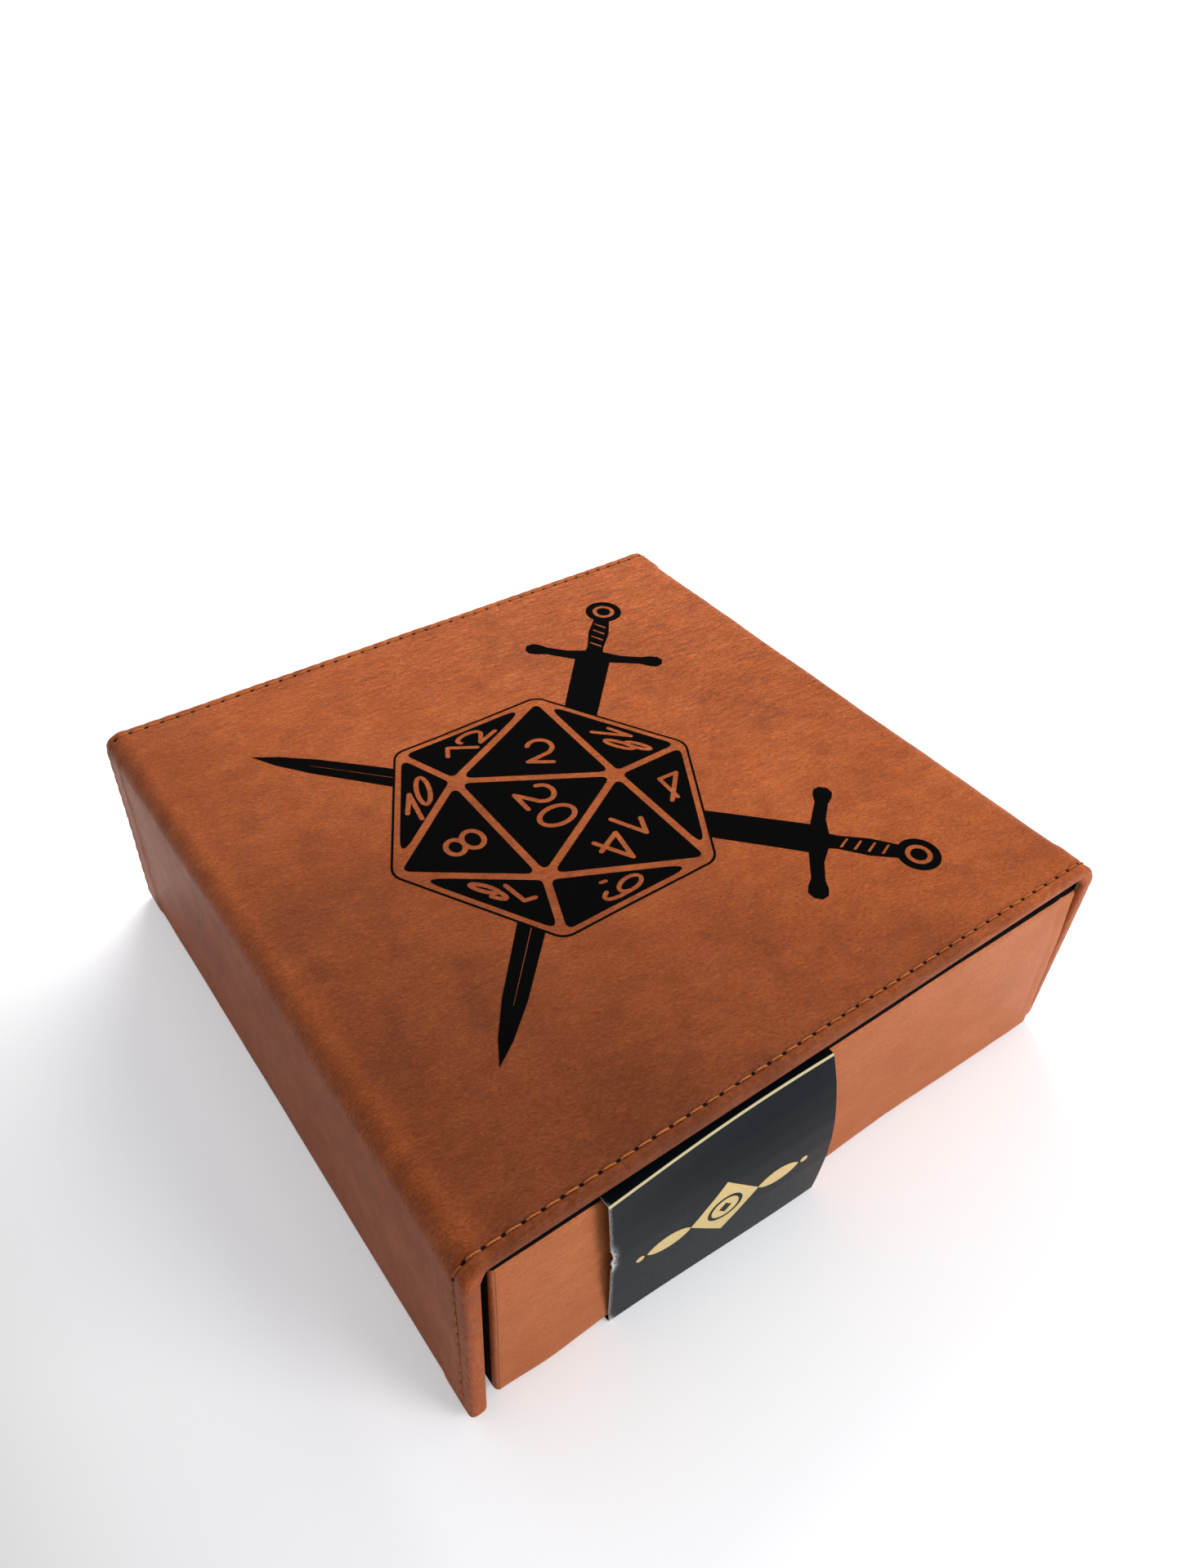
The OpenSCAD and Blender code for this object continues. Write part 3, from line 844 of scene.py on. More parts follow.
# ------------------------------------------------------------------ the tray's leatherette wrap
def build_tray_wrap():
    x0, y0, floor_z = tray_low
    x1, y1, top_z = tray_high
    rim_z = top_z - 1.0
    # section of the wall as (inset, z): in under the floor, up the outside, over the rim and back
    section = [(inset, floor_z) for inset in (10.0, 8, 6, 4.4)]
    section += [(3.6 - 3.6 * sin(t), floor_z + 3.9 - 3.9 * cos(t)) for t in np.linspace(0, pi / 2, 10)]
    section += [(0, z) for z in np.linspace(floor_z + 3.9, rim_z - 2.0, 34)[1:]]
    section += [(2.0 - 2.0 * cos(t), rim_z - 2.0 + 2.0 * sin(t))
                for t in np.linspace(0, pi / 2, 8)[1:]]
    section += [(2.7, rim_z + 0.02), (3.38, rim_z)]
    section += [(4.02 + 0.38 * cos(t), rim_z - 0.38 + 0.38 * sin(t))
                for t in np.linspace(pi / 2, 0, 6)[1:]]
    section += [(4.32, top_z - 2.5), (4.32, floor_z + 1.6), (10.0, floor_z + 0.65)]
    insets, heights = np.array(section).T

    loops = []
    for d in insets:
        xy, sides = rounded_loop(x0 + d, y0 + d, x1 - d, y1 - d, max(WALL_CORNER - d, 0.25),
                                 long_count=150, short_count=150, corner_count=8)
        loops.append(xy)
    X, Y = np.moveaxis(np.array(loops), -1, 0)
    rows, cols = X.shape
    Z = heights[:, None].repeat(cols, 1)
    around = run_length(loops[12])
    wall = sides[None, :].repeat(rows, 0)
    inset = insets[:, None]

    facing = np.clip(1 - inset / 2.1, 0, 1)           # only the outside bulges
    rise = np.clip((Z - floor_z) / (top_z - floor_z), 0, 1)
    corner = np.maximum(WALL_CORNER - inset, 0.25)
    in_corner = np.clip((np.abs(Y) - (y1 - inset - corner)) / corner, 0, 1)
    front = np.where(wall == 0, 1.0, np.where((wall == 4) & (Y < 0), in_corner, 0.0)) * facing
    rear = np.where(wall == 2, 1.0, np.where((wall == 4) & (Y > 0), in_corner, 0.0)) * facing
    # padding low on the wall, a swelling towards the spine, and undulations
    from_flap = smoothstep(X, x0 - 1, x0 + 16)
    padding = 0.12 + 0.78 * (1 - rise) ** 1.3 * smoothstep(rise, 0.0, 0.07) + 0.25 * np.sin(pi * rise)
    swell = 1.6 * smoothstep(X, 30, 97) * (1 - 0.55 * rise ** 3) * smoothstep(rise, 0.0, 0.06)
    ripple = 0.13 * wave(X, Z * 1.6, 48, 41) + 0.04 * wave(X, Z, 14, 43)
    rear_ripple = 0.13 * wave(X, Z * 1.6, 52, 44)
    Y = (Y - (padding * (0.35 + 0.65 * from_flap) + swell + ripple) * front
         + (0.06 * padding + 0.22 * rear_ripple) * rear)
    # the flap side is drawn in, and rounded more at the floor
    X = X + 0.42 * facing * (1 - smoothstep(X, x0, x0 + 7))
    foot = 4.6
    drop = foot - np.sqrt(foot ** 2 - (foot - np.clip(Z - floor_z, 0, foot)) ** 2)
    near_flap = 1 - smoothstep(X, x0 + inset, x0 + inset + 14)
    X = X + np.clip(drop - inset, 0, None) * near_flap * (inset < 9)
    belly = 0.45 * bell(X + 80, 13.0) * (1 - rise) ** 1.4 * smoothstep(rise, 0.0, 0.05)
    Y = Y - belly * front
    # snug against the spine, with a pulled fold of leatherette beside it
    X = X + 0.25 * facing * smoothstep(X, x1 - 7, x1)
    fold = bell(X - (x1 - 4.2 - 2.4 * rise), 1.2) * smoothstep(rise, 0.05, 0.3)
    Y = Y + 0.28 * fold * front - 0.1 * fold * rear
    # the rim rises and dips a little
    on_rim = (inset > 0.2) & (inset < 4.3) & (Z > top_z - 2.5)
    Z = Z + np.where(on_rim, 0.03 * wave(X + Y, X - Y, 40, 46), 0)

    rolled = np.clip(bell(Z - top_z, 1.2) + bell(Z - floor_z - 1, 1.6) * (inset < 3), 0, 1)
    attrs = {
        "lc": np.stack([around[None, :] + 0 * Z + 700, Z - inset, 0 * Z], -1),
        "edge": rolled * 0.5 + (wall == 4) * (inset < 2) * 0.8,
        "shade": 0.22 * smoothstep(wave(X, Z, 26, 51), 0.2, 1.2) + 0.10 * (1 - rise),
        "wrinkle": np.full(rows * cols, 0.5)}
    faces = grid_faces(rows, cols, close_cols=True, close_rows=True)
    # velvet faces the wall behind the flap, and the lining comes up over the rim and down the top of the
    # outer rounding, whose black there is painted shade under the lid's lip
    row, col = faces[:, 0] // cols, faces[:, 0] % cols
    is_velvet = (sides[col] == 3) & (insets[row] < 1.6) & (heights[row] > floor_z + 0.6)
    is_velvet |= heights[row] > rim_z - 0.95
    return build("tray_leatherette", np.stack([X, Y, Z], -1), faces, [tray_leather, velvet], attrs,
                 face_materials=is_velvet.astype(int))


mount(build_tray_wrap(), "tray", "tray_leather_wrap")


# ------------------------------------------------------------------ velvet of the well
def build_floor_pad():
    x0, y0 = pad_low[:2] + 0.1
    x1, y1 = pad_high[:2] - 0.1
    bottom_z, top_z = pad_low[2], pad_high[2]
    steps = [0, 0.15, 0.5, 1.0, 1.7, 2.6, 4.0, 6.0, 8.5]
    x, y = np.meshgrid(with_ends(steps, x0, x1, np.linspace(x0 + 11, x1 - 11, 84)),
                       with_ends(steps, y0, y1, np.linspace(y0 + 11, y1 - 11, 86)), indexing="ij")
    margin = np.minimum(np.minimum(x - x0, x1 - x), np.minimum(y - y0, y1 - y))
    up = quarter_round(margin / 3.4)
    ripple = 0.14 * wave(x, y, 44, 61) + 0.05 * wave(x, y, 15, 62)
    z = bottom_z + 0.15 + (top_z - bottom_z + 0.25) * up + ripple * up
    places = np.stack([x + 900, y, 0 * x], -1)
    return build_double_sheet("well_floor_velvet_pad", np.stack([x, y, z], -1),
                              np.stack([x, y, np.full_like(x, bottom_z)], -1), velvet,
                              np.concatenate([places, places]))


def build_well_walls():
    x0, y0, bottom_z = well_low
    x1, y1, top_z = well_high
    # section of the wall as (inset, z): up the outside, over the rounded top, down the inside
    section = [(0.0, bottom_z), (0.0, top_z - 0.4)]
    section += [(0.4 - 0.4 * cos(t), top_z - 0.4 + 0.4 * sin(t)) for t in np.linspace(0.3, pi - 0.3, 7)]
    section += [(0.8, z) for z in np.linspace(top_z - 0.6, bottom_z + 7, 26)] + [(0.8, bottom_z)]
    loops = []
    for d, z in section:
        xy, _ = rounded_loop(x0 + d, y0 + d, x1 - d, y1 - d, 0.3 + 1.6 * (d > 0.4),
                             long_count=70, short_count=70, corner_count=6)
        loops.append(np.column_stack([xy, np.full(len(xy), z)]))
    verts = np.array(loops)
    rows, cols = verts.shape[:2]
    X, Y, Z = np.moveaxis(verts, -1, 0)
    around = run_length(verts[0][:, :2])[None, :] + 0 * Z
    inner = (np.array([d for d, _ in section]) > 0.7)[:, None]
    # the inner face swells unevenly into the well
    swell = 0.16 * (1 + wave(around, Z, 34, 71)) * inner
    off_x = X - (x0 + x1) / 2
    toward_x = -np.sign(off_x) * (np.abs(off_x) > (x1 - x0) / 2 - 1.2)
    toward_y = -np.sign(Y) * (np.abs(Y) > (y1 - y0) / 2 - 1.2)
    verts = np.stack([X + toward_x * swell, Y + toward_y * swell, Z], -1)
    return build("well_wall_velvet_lining", verts,
                 grid_faces(rows, cols, close_cols=True, close_rows=True), [velvet],
                 {"lc": np.stack([around + 1300, Z, 0 * Z], -1)})


mount(build_floor_pad(), "tray", "well_floor_velvet")
mount(build_well_walls(), "tray", "well_wall_velvet")

# ------------------------------------------------------------------ the paper band
BAND_WIDTH = band_high[0] - band_low[0]
BAND_START = (band_low[0] + band_high[0]) / 2 - BAND_WIDTH / 2      # its edge towards the flap
BAND_TOP, BAND_BOTTOM = band_high[2] - BAND_THICK, band_low[2] + BAND_THICK     # inner faces
BAND_Y = band_high[1] - BAND_THICK
BAND_HEIGHT = 63.5               # height its skew and bulge are measured over
# how far the front stands out at both edges: heights, then bulges
FLAP_BULGE = ([0, 8, 17, 28, 38, 48, 56, BAND_HEIGHT],
              [0.9, 1.5, 2.1, 2.7, 3.1, 3.05, 2.9, 2.75])
SPINE_BULGE = ([0, 6, 12, 22, 31, 40, 47, 54, 60, BAND_HEIGHT],
               [3.6, 4.4, 5.1, 6.1, 6.5, 6.2, 5.4, 4.3, 2.8, 1.8])
# notches in the front's edge towards the flap: height, half width, depth
NOTCHES = ((40.0, 1.9, 0.85), (34.8, 1.1, 0.7), (2.0, 1.8, 0.7), (22, 0.8, 0.2))


def band_shift(z):
    """The band sits a little askew: its upper part is nearer the flap."""
    return -2.35 + 4.7 * (1 - np.clip(z / BAND_HEIGHT, 0, 1))


def band_bulge(u, z):
    """How far the front stands out of the plain wall. u is 0 at the flap side, 1 at the spine's."""
    near, far = np.interp(z, *FLAP_BULGE), np.interp(z, *SPINE_BULGE)
    k = smoothstep(u, 0.0, 1.0) * 0.55 + 0.45 * u
    hollow = 0.85 * np.sin(pi * np.clip(u, 0, 1)) * smoothstep(z, 44, BAND_HEIGHT)
    return near + (far - near) * k - hollow


def build_band():
    # round the loop: down the front, rearward below, up the rear, forward above
    cols = 71
    steps = np.array([0, 0.12, 0.3, 0.6, 1.0])
    down = np.concatenate([BAND_TOP - steps, np.linspace(BAND_TOP - 2, BAND_BOTTOM + 2, 46),
                           BAND_BOTTOM + steps[::-1]])
    across = np.linspace(-BAND_Y, BAND_Y, 72)[1:-1]
    n, m = len(down), len(across)
    side = np.repeat([0, 1, 2, 3], [n, m, n, m])[:, None]
    front, below, rear, above = [side == i for i in range(4)]
    y = np.concatenate([np.full(n, -BAND_Y), across, np.full(n, BAND_Y), across[::-1]])
    z = np.concatenate([down, np.full(m, BAND_BOTTOM), down[::-1], np.full(m, BAND_TOP)])
    height = BAND_TOP - BAND_BOTTOM
    # distance round the band from the upper front fold
    around = np.concatenate([BAND_TOP - down, height + (across + BAND_Y),
                             height + 2 * BAND_Y + (down[::-1] - BAND_BOTTOM),
                             -(across[::-1] + BAND_Y)])
    rows = len(y)
    U = np.linspace(0, 1, cols)[None, :].repeat(rows, 0)
    Y, Z, Q = [values[:, None].repeat(cols, 1) for values in (y, z, around)]
    # the top and bottom follow the folds out to the front
    near_front = np.clip(1 - (Y + BAND_Y) / 14.0, 0, 1) ** 1.5
    out_above = band_bulge(U, np.full_like(Z, BAND_TOP)) * near_front
    out_below = band_bulge(U, np.full_like(Z, 0.0)) * near_front
    Y = (Y - band_bulge(U, Z) * front + 0.35 * rear * np.sin(pi * Z / BAND_HEIGHT)
         - out_above * above - out_below * below)
    notch = np.zeros_like(Z)
    for centre, width, depth in NOTCHES:
        notch = np.maximum(notch, depth * bell(Z - centre, width, 4) * front)
    notch = notch * (0.75 + 0.25 * np.sin(Z * 7.3))
    X = BAND_START + BAND_WIDTH * U + band_shift(Z) + notch * np.clip(1 - U * 14, 0, 1)

    inner = np.stack([X, Y, Z], -1)
    normal = np.cross(np.roll(inner, -1, 0) - np.roll(inner, 1, 0), np.gradient(inner, axis=1))
    normal /= np.linalg.norm(normal, axis=-1)[..., None]
    # the sheet is kept at full thickness round the folds
    squareness = np.maximum(np.abs(normal[..., 1]), np.abs(normal[..., 2]))
    outer = inner + normal * (BAND_THICK / np.clip(squareness, 0.72, 1))[..., None]
    outer[..., 2] = np.clip(outer[..., 2], 0.0, None)

    k = rows * cols
    faces = grid_faces(rows, cols, close_rows=True).tolist()
    faces += grid_faces(rows, cols, close_rows=True, start=k, flip=True).tolist()
    sheet_count = len(faces)
    for i in range(rows):
        a, b = i * cols, ((i + 1) % rows) * cols
        faces.append([b, a, a + k, b + k])
        a, b = a + cols - 1, b + cols - 1
        faces.append([a, b, b + k, a + k])

    places = np.stack([X - BAND_START, Q, U * BAND_WIDTH], -1)
    inward = U * BAND_WIDTH
    torn = bell(Z - 40, 3.6) + bell(Z - 35.2, 2.2) + 0.9 * bell(Z - 1.0, 2.0)
    wear = np.clip(torn * front * bell(inward, 1.1), 0, 1)
    wear = np.clip(wear + 0.30 * bell(inward, 0.22) * front, 0, 1)
    band = build("paper_belly_band", np.concatenate([outer, inner]), faces, [card, card_core],
                 {"lc": np.concatenate([places, places + [0, 500, 0]]),
                  "edge": np.concatenate([wear, wear * 0])},
                 face_materials=[0] * sheet_count + [1] * (len(faces) - sheet_count))
    band.data.set_sharp_from_angle(angle=radians(38))
    return band


mount(build_band(), "band", "paper_band")


# ------------------------------------------------------------------ flat artwork
def arc(cx, cy, rx, ry, start, end, count):
    angles = np.radians(np.linspace(start, end, count))
    return [(cx + rx * cos(t), cy + ry * sin(t)) for t in angles]


def ellipse(cx, cy, rx, ry, count):
    t = np.linspace(0, 2 * pi, count, endpoint=False)
    return np.stack([cx + rx * np.cos(t), cy + ry * np.sin(t)], 1)


def segment_distance(points, a, b):
    d = b - a
    t = np.clip(((points - a) @ d) / max(d @ d, 1e-12), 0, 1)
    return np.linalg.norm(points - (a + t[:, None] * d), axis=1)


def capsule(a, b, radius, count=7):
    """Outline of one straight stroke with round ends."""
    d = (b - a) / (np.linalg.norm(b - a) + 1e-12)
    heading = atan2(d[1], d[0])
    return [end + radius * np.array([cos(heading + t), sin(heading + t)])
            for end, start in ((b, -pi / 2), (a, pi / 2))
            for t in np.linspace(start, start + pi, count)]


def inside(points, outline):
    x, y = points[:, 0], points[:, 1]
    result = np.zeros(len(points), bool)
    for (xi, yi), (xj, yj) in zip(outline, np.roll(outline, 1, 0)):
        result ^= ((yi > y) != (yj > y)) & (x < (xj - xi) * (y - yi) / (yj - yi + 1e-15) + xi)
    return result


def covered(points, outlines):
    """Whether each point is inside any of the outlines."""
    return np.any([inside(points, outline) for outline in outlines], axis=0)


def round_corners(outline, radius, count=6):
    """Corners cut by quadratic curves close to arcs."""
    out = []
    for i, b in enumerate(outline):
        a, c = outline[i - 1], outline[(i + 1) % len(outline)]
        u, v = (a - b) / np.linalg.norm(a - b), (c - b) / np.linalg.norm(c - b)
        reach = radius / tan(acos(np.clip(u @ v, -1, 1)) / 2)
        start, end = b + u * reach, b + v * reach
        control = b + (start + end - 2 * b) * 0.06
        for k in range(count + 1):
            w = k / count
            out.append((1 - w) ** 2 * start + 2 * w * (1 - w) * control + w ** 2 * end)
    return np.array(out)


def inset_outline(outline, distance):
    """Moves every side of a counter-clockwise outline inward."""
    lines = []
    for a, b in zip(outline, outline[1:] + outline[:1]):
        e = (b - a) / np.linalg.norm(b - a)
        lines.append((a + np.array([-e[1], e[0]]) * distance, e))
    out = []
    for i, (p1, e1) in enumerate(lines):
        p0, e0 = lines[i - 1]
        t = np.linalg.solve(np.array([e0, -e1]).T, p1 - p0)
        out.append(p0 + e0 * t[0])
    return out


def subdivided(outline, step=1.5):
    """Short edges let thin lines follow the padded surface under them."""
    outline = np.asarray(outline, float)
    out = []
    for a, b in zip(outline, np.roll(outline, -1, 0)):
        count = max(1, int(ceil(np.linalg.norm(b - a) / step)))
        out += [a + (b - a) * i / count for i in range(count)]
    return out


def doubled_areas(points, triangles):
    a, b, c = [points[triangles[:, i]] for i in range(3)]
    return (b[:, 0] - a[:, 0]) * (c[:, 1] - a[:, 1]) - (c[:, 0] - a[:, 0]) * (b[:, 1] - a[:, 1])


def build_artwork(name, outlines, is_ink, place, material, body, grid, thick, proud=0.07):
    """Triangulates between the outlines and makes a thin closed inlay of the inked triangles."""
    verts, edges = [], []
    for outline in map(subdivided, outlines):
        base, count = len(verts), len(outline)
        verts += [Vector((float(x), float(y))) for x, y in outline]
        edges += [(base + i, base + (i + 1) % count) for i in range(count)]
    drawn = np.array([[v.x, v.y] for v in verts])
    low, high = drawn.min(0), drawn.max(0)
    x, y = np.meshgrid(np.arange(low[0], high[0], grid), np.arange(low[1], high[1], grid),
                       indexing="ij")
    fill = np.stack([x.ravel(), y.ravel()], 1)
    fill = fill[is_ink(fill)]
    # fill points keep off the outlines; done in batches to save memory
    keep = np.ones(len(fill), bool)
    for i in range(0, len(fill), 400):
        gaps = np.linalg.norm(fill[i:i + 400, None, :] - drawn[None, :, :], axis=2).min(1)
        keep[i:i + 400] = gaps > 0.5
    verts += [Vector((float(x), float(y))) for x, y in fill[keep]]
    cut_verts, _, cut_faces, *_ = delaunay_2d_cdt(verts, edges, [], 0, 1e-4, False)
    points = np.array([[v.x, v.y] for v in cut_verts])
    triangles = np.array([list(face) for face in cut_faces if len(face) == 3])
    big_enough = 0.5 * np.abs(doubled_areas(points, triangles)) > 1e-7
    triangles = triangles[is_ink(points[triangles].mean(1)) & big_enough]
    used = np.unique(triangles)
    renumber = -np.ones(len(points), int)
    renumber[used] = np.arange(len(used))
    points, triangles = points[used], renumber[triangles]
    clockwise = doubled_areas(points, triangles) < 0
    triangles[clockwise] = triangles[clockwise][:, ::-1]

    k = len(points)
    directed = dict.fromkeys(pair for a, b, c in triangles.tolist()
                             for pair in ((a, b), (b, c), (c, a)))
    rim = [[a + k, b + k, b, a] for a, b in directed if (b, a) not in directed]
    faces = triangles.tolist() + (triangles[:, ::-1] + k).tolist() + rim
    places = np.column_stack([points, np.zeros(k)])
    obj = build(name, np.concatenate([place(points, proud), place(points, proud - thick)]), faces,
                [material], {"lc": np.concatenate([places, places + [0, 0, 3]])})
    obj.data.set_sharp_from_angle(angle=radians(40))
    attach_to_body(obj, body)
    return obj


# ------------------------------------------------------------------ the lid's engraving
# strokes of plain digits in a box from -0.5 to 0.5 both ways
DIGITS = {
    "0": [arc(0, 0, 0.5, 0.5, 0, 360, 44)],
    "1": [[(-0.5, 0.12), (0.5, 0.5), (0.5, -0.5)]],
    "2": [[(-0.5, 0.20)] + arc(0, 0.18, 0.49, 0.32, 165, -18, 18)
          + [(0.36, -0.06), (-0.48, -0.5), (0.5, -0.5)]],
    "4": [[(0.26, -0.5), (0.26, 0.5), (-0.5, -0.22), (0.5, -0.22)]],
    "6": [arc(0, -0.20, 0.5, 0.30, 0, 360, 34),
          [(-0.5, -0.20), (-0.47, 0.06)] + arc(0, 0.06, 0.47, 0.44, 180, 50, 12)],
    "8": [arc(0, 0.265, 0.42, 0.235, 0, 360, 32), arc(0, -0.235, 0.5, 0.265, 0, 360, 34)],
}
# the die's numbers, turned and foreshortened with their faces:
# digit, centre, vector across the box, vector up the box, half width of the stroke before BOLD
NUMBERS = (
    ("2", (-10.5, 7.4), (0, -7.3), (10.8, 0), 0.68),
    ("0", (-10.4, -2.9), (0, -7.4), (11.2, 0), 0.68),
    ("2", (1.9, 23.9), (6.5, -4.2), (5.6, 8.9), 0.66),
    ("8", (-38.2, 2.1), (0, 7.2), (-11.2, 0), 0.68),
    ("1", (6.1, -16.8), (-4.3, -1.9), (5.2, -9.8), 0.66),
    ("4", (-3.5, -22.2), (-7.9, -3.9), (5.9, -10.2), 0.66),
    ("1", (-19.4, 37.2), (5.0, 1.9), (-7.8, 4.5), 0.60),
    ("2", (-11.3, 40.6), (6.8, 2.4), (-7.3, 4.2), 0.60),
    ("1", (-43.8, 21.4), (3.6, 2.7), (2.0, 10.9), 0.62),
    ("0", (-36.8, 27.4), (4.9, 3.6), (2.2, 10.6), 0.62),
    ("1", (24.9, 20.3), (0.1, -3.8), (9.0, -8.4), 0.58),
    ("8", (26.0, 11.2), (2.8, -7.0), (8.8, -7.4), 0.60),
    ("4", (25.7, -9.4), (-0.4, -9.2), (8.9, 9.1), 0.60),
    ("1", (-35.5, -23.4), (-3.5, 3.5), (1.2, -7.4), 0.60),
    ("6", (-42.6, -17.3), (-4.8, 4.6), (2.6, -8.2), 0.60),
    ("6", (-12.1, -36.2), (0.8, 4.3), (-12.8, -0.9), 0.56),
)
BOLD = 1.2
UNDERLINE = (np.array([(-16.1, -31.5), (-14.6, -31.7)]), 0.62)      # short stroke by the last 6
DIE_CENTRE = np.array([-9.8, 2.25])
DIE_RADIUS = 50.3                # to the outer corners of the faces
HEXAGON_RADIUS = 51.3            # to the middle of the line round the die
FACE_INSET, FACE_ROUNDING = 1.18, 1.7
# corners of the die's middle face, by their angle
MIDDLE = {0: np.array([14.9, 2.3]), 120: np.array([-27.2, 26.1]), 240: np.array([-27.2, -21.5])}
# tip and end of the pommel of each sword
SWORD_ENDS = (((-71.5, 68.8), (68.9, -77.2)), ((-70.7, -65.9), (68.8, 80.1)))


def hexagon(radius):
    return {a: DIE_CENTRE + radius * np.array([cos(radians(a)), sin(radians(a))])
            for a in range(0, 360, 60)}


def die_faces():
    outer = hexagon(DIE_RADIUS)
    triangles = [list(MIDDLE.values())]
    for a in (60, 180, 300):
        triangles.append([MIDDLE[(a - 60) % 360], outer[a], MIDDLE[(a + 60) % 360]])
    for a in (0, 120, 240):
        triangles.append([MIDDLE[a], outer[(a - 60) % 360], outer[a]])
        triangles.append([MIDDLE[a], outer[a], outer[(a + 60) % 360]])
    return [round_corners(inset_outline(t, FACE_INSET), FACE_ROUNDING) for t in triangles]


def number_strokes():
    strokes = []
    for digit, centre, across, up, half_width in NUMBERS:
        centre, across, up = [np.array(v, float) for v in (centre, across, up)]
        for line in DIGITS[digit]:
            points = np.array([centre + across * a + up * b for a, b in line])
            strokes.append((points, half_width * BOLD))
    return strokes + [UNDERLINE]


def sword(tip, end):
    """Outlines of an arming sword: its inked parts, the cut-outs and the dot in the pommel."""
    tip, end = np.array(tip, float), np.array(end, float)
    length = np.linalg.norm(end - tip)
    along = (end - tip) / length
    sideways = np.array([-along[1], along[0]])

    def shape(points):
        return np.array([tip + along * a + sideways * b for a, b in points])

    def disc(radius, count):
        return shape([(length - 6.3 + radius * cos(t), radius * sin(t))
                      for t in np.linspace(0, 2 * pi, count, endpoint=False)])

    guard_at = length - 35.0
    # one side of each part as (distance from the tip, distance from the middle line)
    blade = [(8, 1.9), (20, 3.2), (45, 3.9), (100, 4.8), (guard_at - 4, 5.8), (guard_at, 5.8)]
    blade = [(0, 0)] + blade + [(a, -b) for a, b in blade[::-1]]
    arm = [(-2.2, 3.0), (-1.6, 9.0), (-0.9, 16.0), (-1.6, 19.2), (-1.5, 21.6), (0.2, 23.2),
           (2.6, 23.2), (4.1, 21.4), (4.0, 19.0), (3.0, 16.0), (2.5, 9.0), (3.6, 3.0)]
    arm = [(guard_at + a, b) for a, b in arm]
    guard = arm + [(a, -b) for a, b in arm[::-1]]
    grip = [(guard_at + 2.0, -3.2), (guard_at + 6, -2.7), (guard_at + 15, -3.5), (length - 10, -2.5)]
    grip = grip + [(a, -b) for a, b in grip[::-1]]
    cuts = [shape([(18, -0.10), (70, -0.17), (70, 0.17), (18, 0.10)])]
    for k in range(4):
        a = guard_at + 6.5 + k * 3.9
        cuts.append(shape([(a, -2.0), (a + 0.9, -2.0), (a + 2.6, 2.2), (a + 1.9, 2.2)]))
    cuts.append(disc(3.9, 30))
    return [shape(blade), shape(guard), shape(grip), disc(6.3, 40)], cuts, disc(2.4, 24)


def build_engraving():
    faces, strokes = die_faces(), number_strokes()
    swords = [sword(*ends) for ends in SWORD_ENDS]
    line_outer = round_corners(list(hexagon(HEXAGON_RADIUS + 0.40).values()), 5.2, 8)
    line_inner = round_corners(list(hexagon(HEXAGON_RADIUS - 0.38).values()), 4.8, 8)
    segments = [(a, b, radius) for line, radius in strokes for a, b in zip(line[:-1], line[1:])]

    def is_ink(points):
        in_hexagon = inside(points, line_outer)
        ink = in_hexagon & ~inside(points, line_inner)
        for solid, cuts, dot in swords:
            blade = covered(points, solid) & ~covered(points, cuts) | inside(points, dot)
            ink |= blade & ~in_hexagon
        in_number = np.zeros(len(points), bool)
        for a, b, radius in segments:
            in_number |= segment_distance(points, a, b) < radius
        return ink | covered(points, faces) & ~in_number

    outlines = [line_outer, line_inner] + faces
    for solid, cuts, dot in swords:
        outlines += solid + cuts + [dot]
    outlines += [capsule(*segment) for segment in segments]
    return build_artwork("lid_engraving", outlines, is_ink,
                         lambda p, height: on_cover(p[:, 0], p[:, 1], height),
                         engraved, "lid", grid=2.2, thick=0.20)


build_engraving()

# ------------------------------------------------------------------ foil ornament on the band
# a lozenge with a ring, two leaves and two dots; centre along the band and down from its upper fold
ORNAMENT = np.array([34.0, 34.0])


def lozenge(a, b):
    return ORNAMENT + np.array([(a, 0), (0, b), (-a, 0), (0, -b)], float)


def leaf(cx, cy, a, b, count=24):
    t = np.linspace(0, 2 * pi, count, endpoint=False)
    return np.stack([cx + a * np.cos(t), cy + b * np.sin(t) * np.abs(np.sin(t)) ** 0.5], 1)


def on_band(points, height):
    """Points over the band's front, from distances along it and down from its upper fold."""
    along, z = points[:, 0], BAND_TOP - points[:, 1]
    y = -BAND_Y - band_bulge(along / BAND_WIDTH, z) - BAND_THICK - height
    return np.stack([BAND_START + along + band_shift(z), y, z], 1)


def build_ornament():
    cx, cy = ORNAMENT
    solid = [lozenge(10.5, 12.5), leaf(cx - 17.0, cy, 6.5, 3.2), leaf(cx + 17.0, cy, 6.5, 3.2),
             ellipse(cx - 25.5, cy, 1.2, 1.2, 20), ellipse(cx + 25.5, cy, 1.2, 1.2, 20)]
    hole = ellipse(cx, cy, 5.4, 5.4, 48)
    disc = ellipse(cx, cy, 4.2, 4.2, 40)
    pip = lozenge(2.0, 2.4)

    def is_ink(points):
        ink = covered(points, solid) & ~inside(points, hole) | inside(points, disc)
        return ink & ~inside(points, pip)

    return build_artwork("band_foil_ornament", solid + [hole, disc, pip], is_ink, on_band, foil,
                         "band", grid=2.0, thick=0.12)


build_ornament()


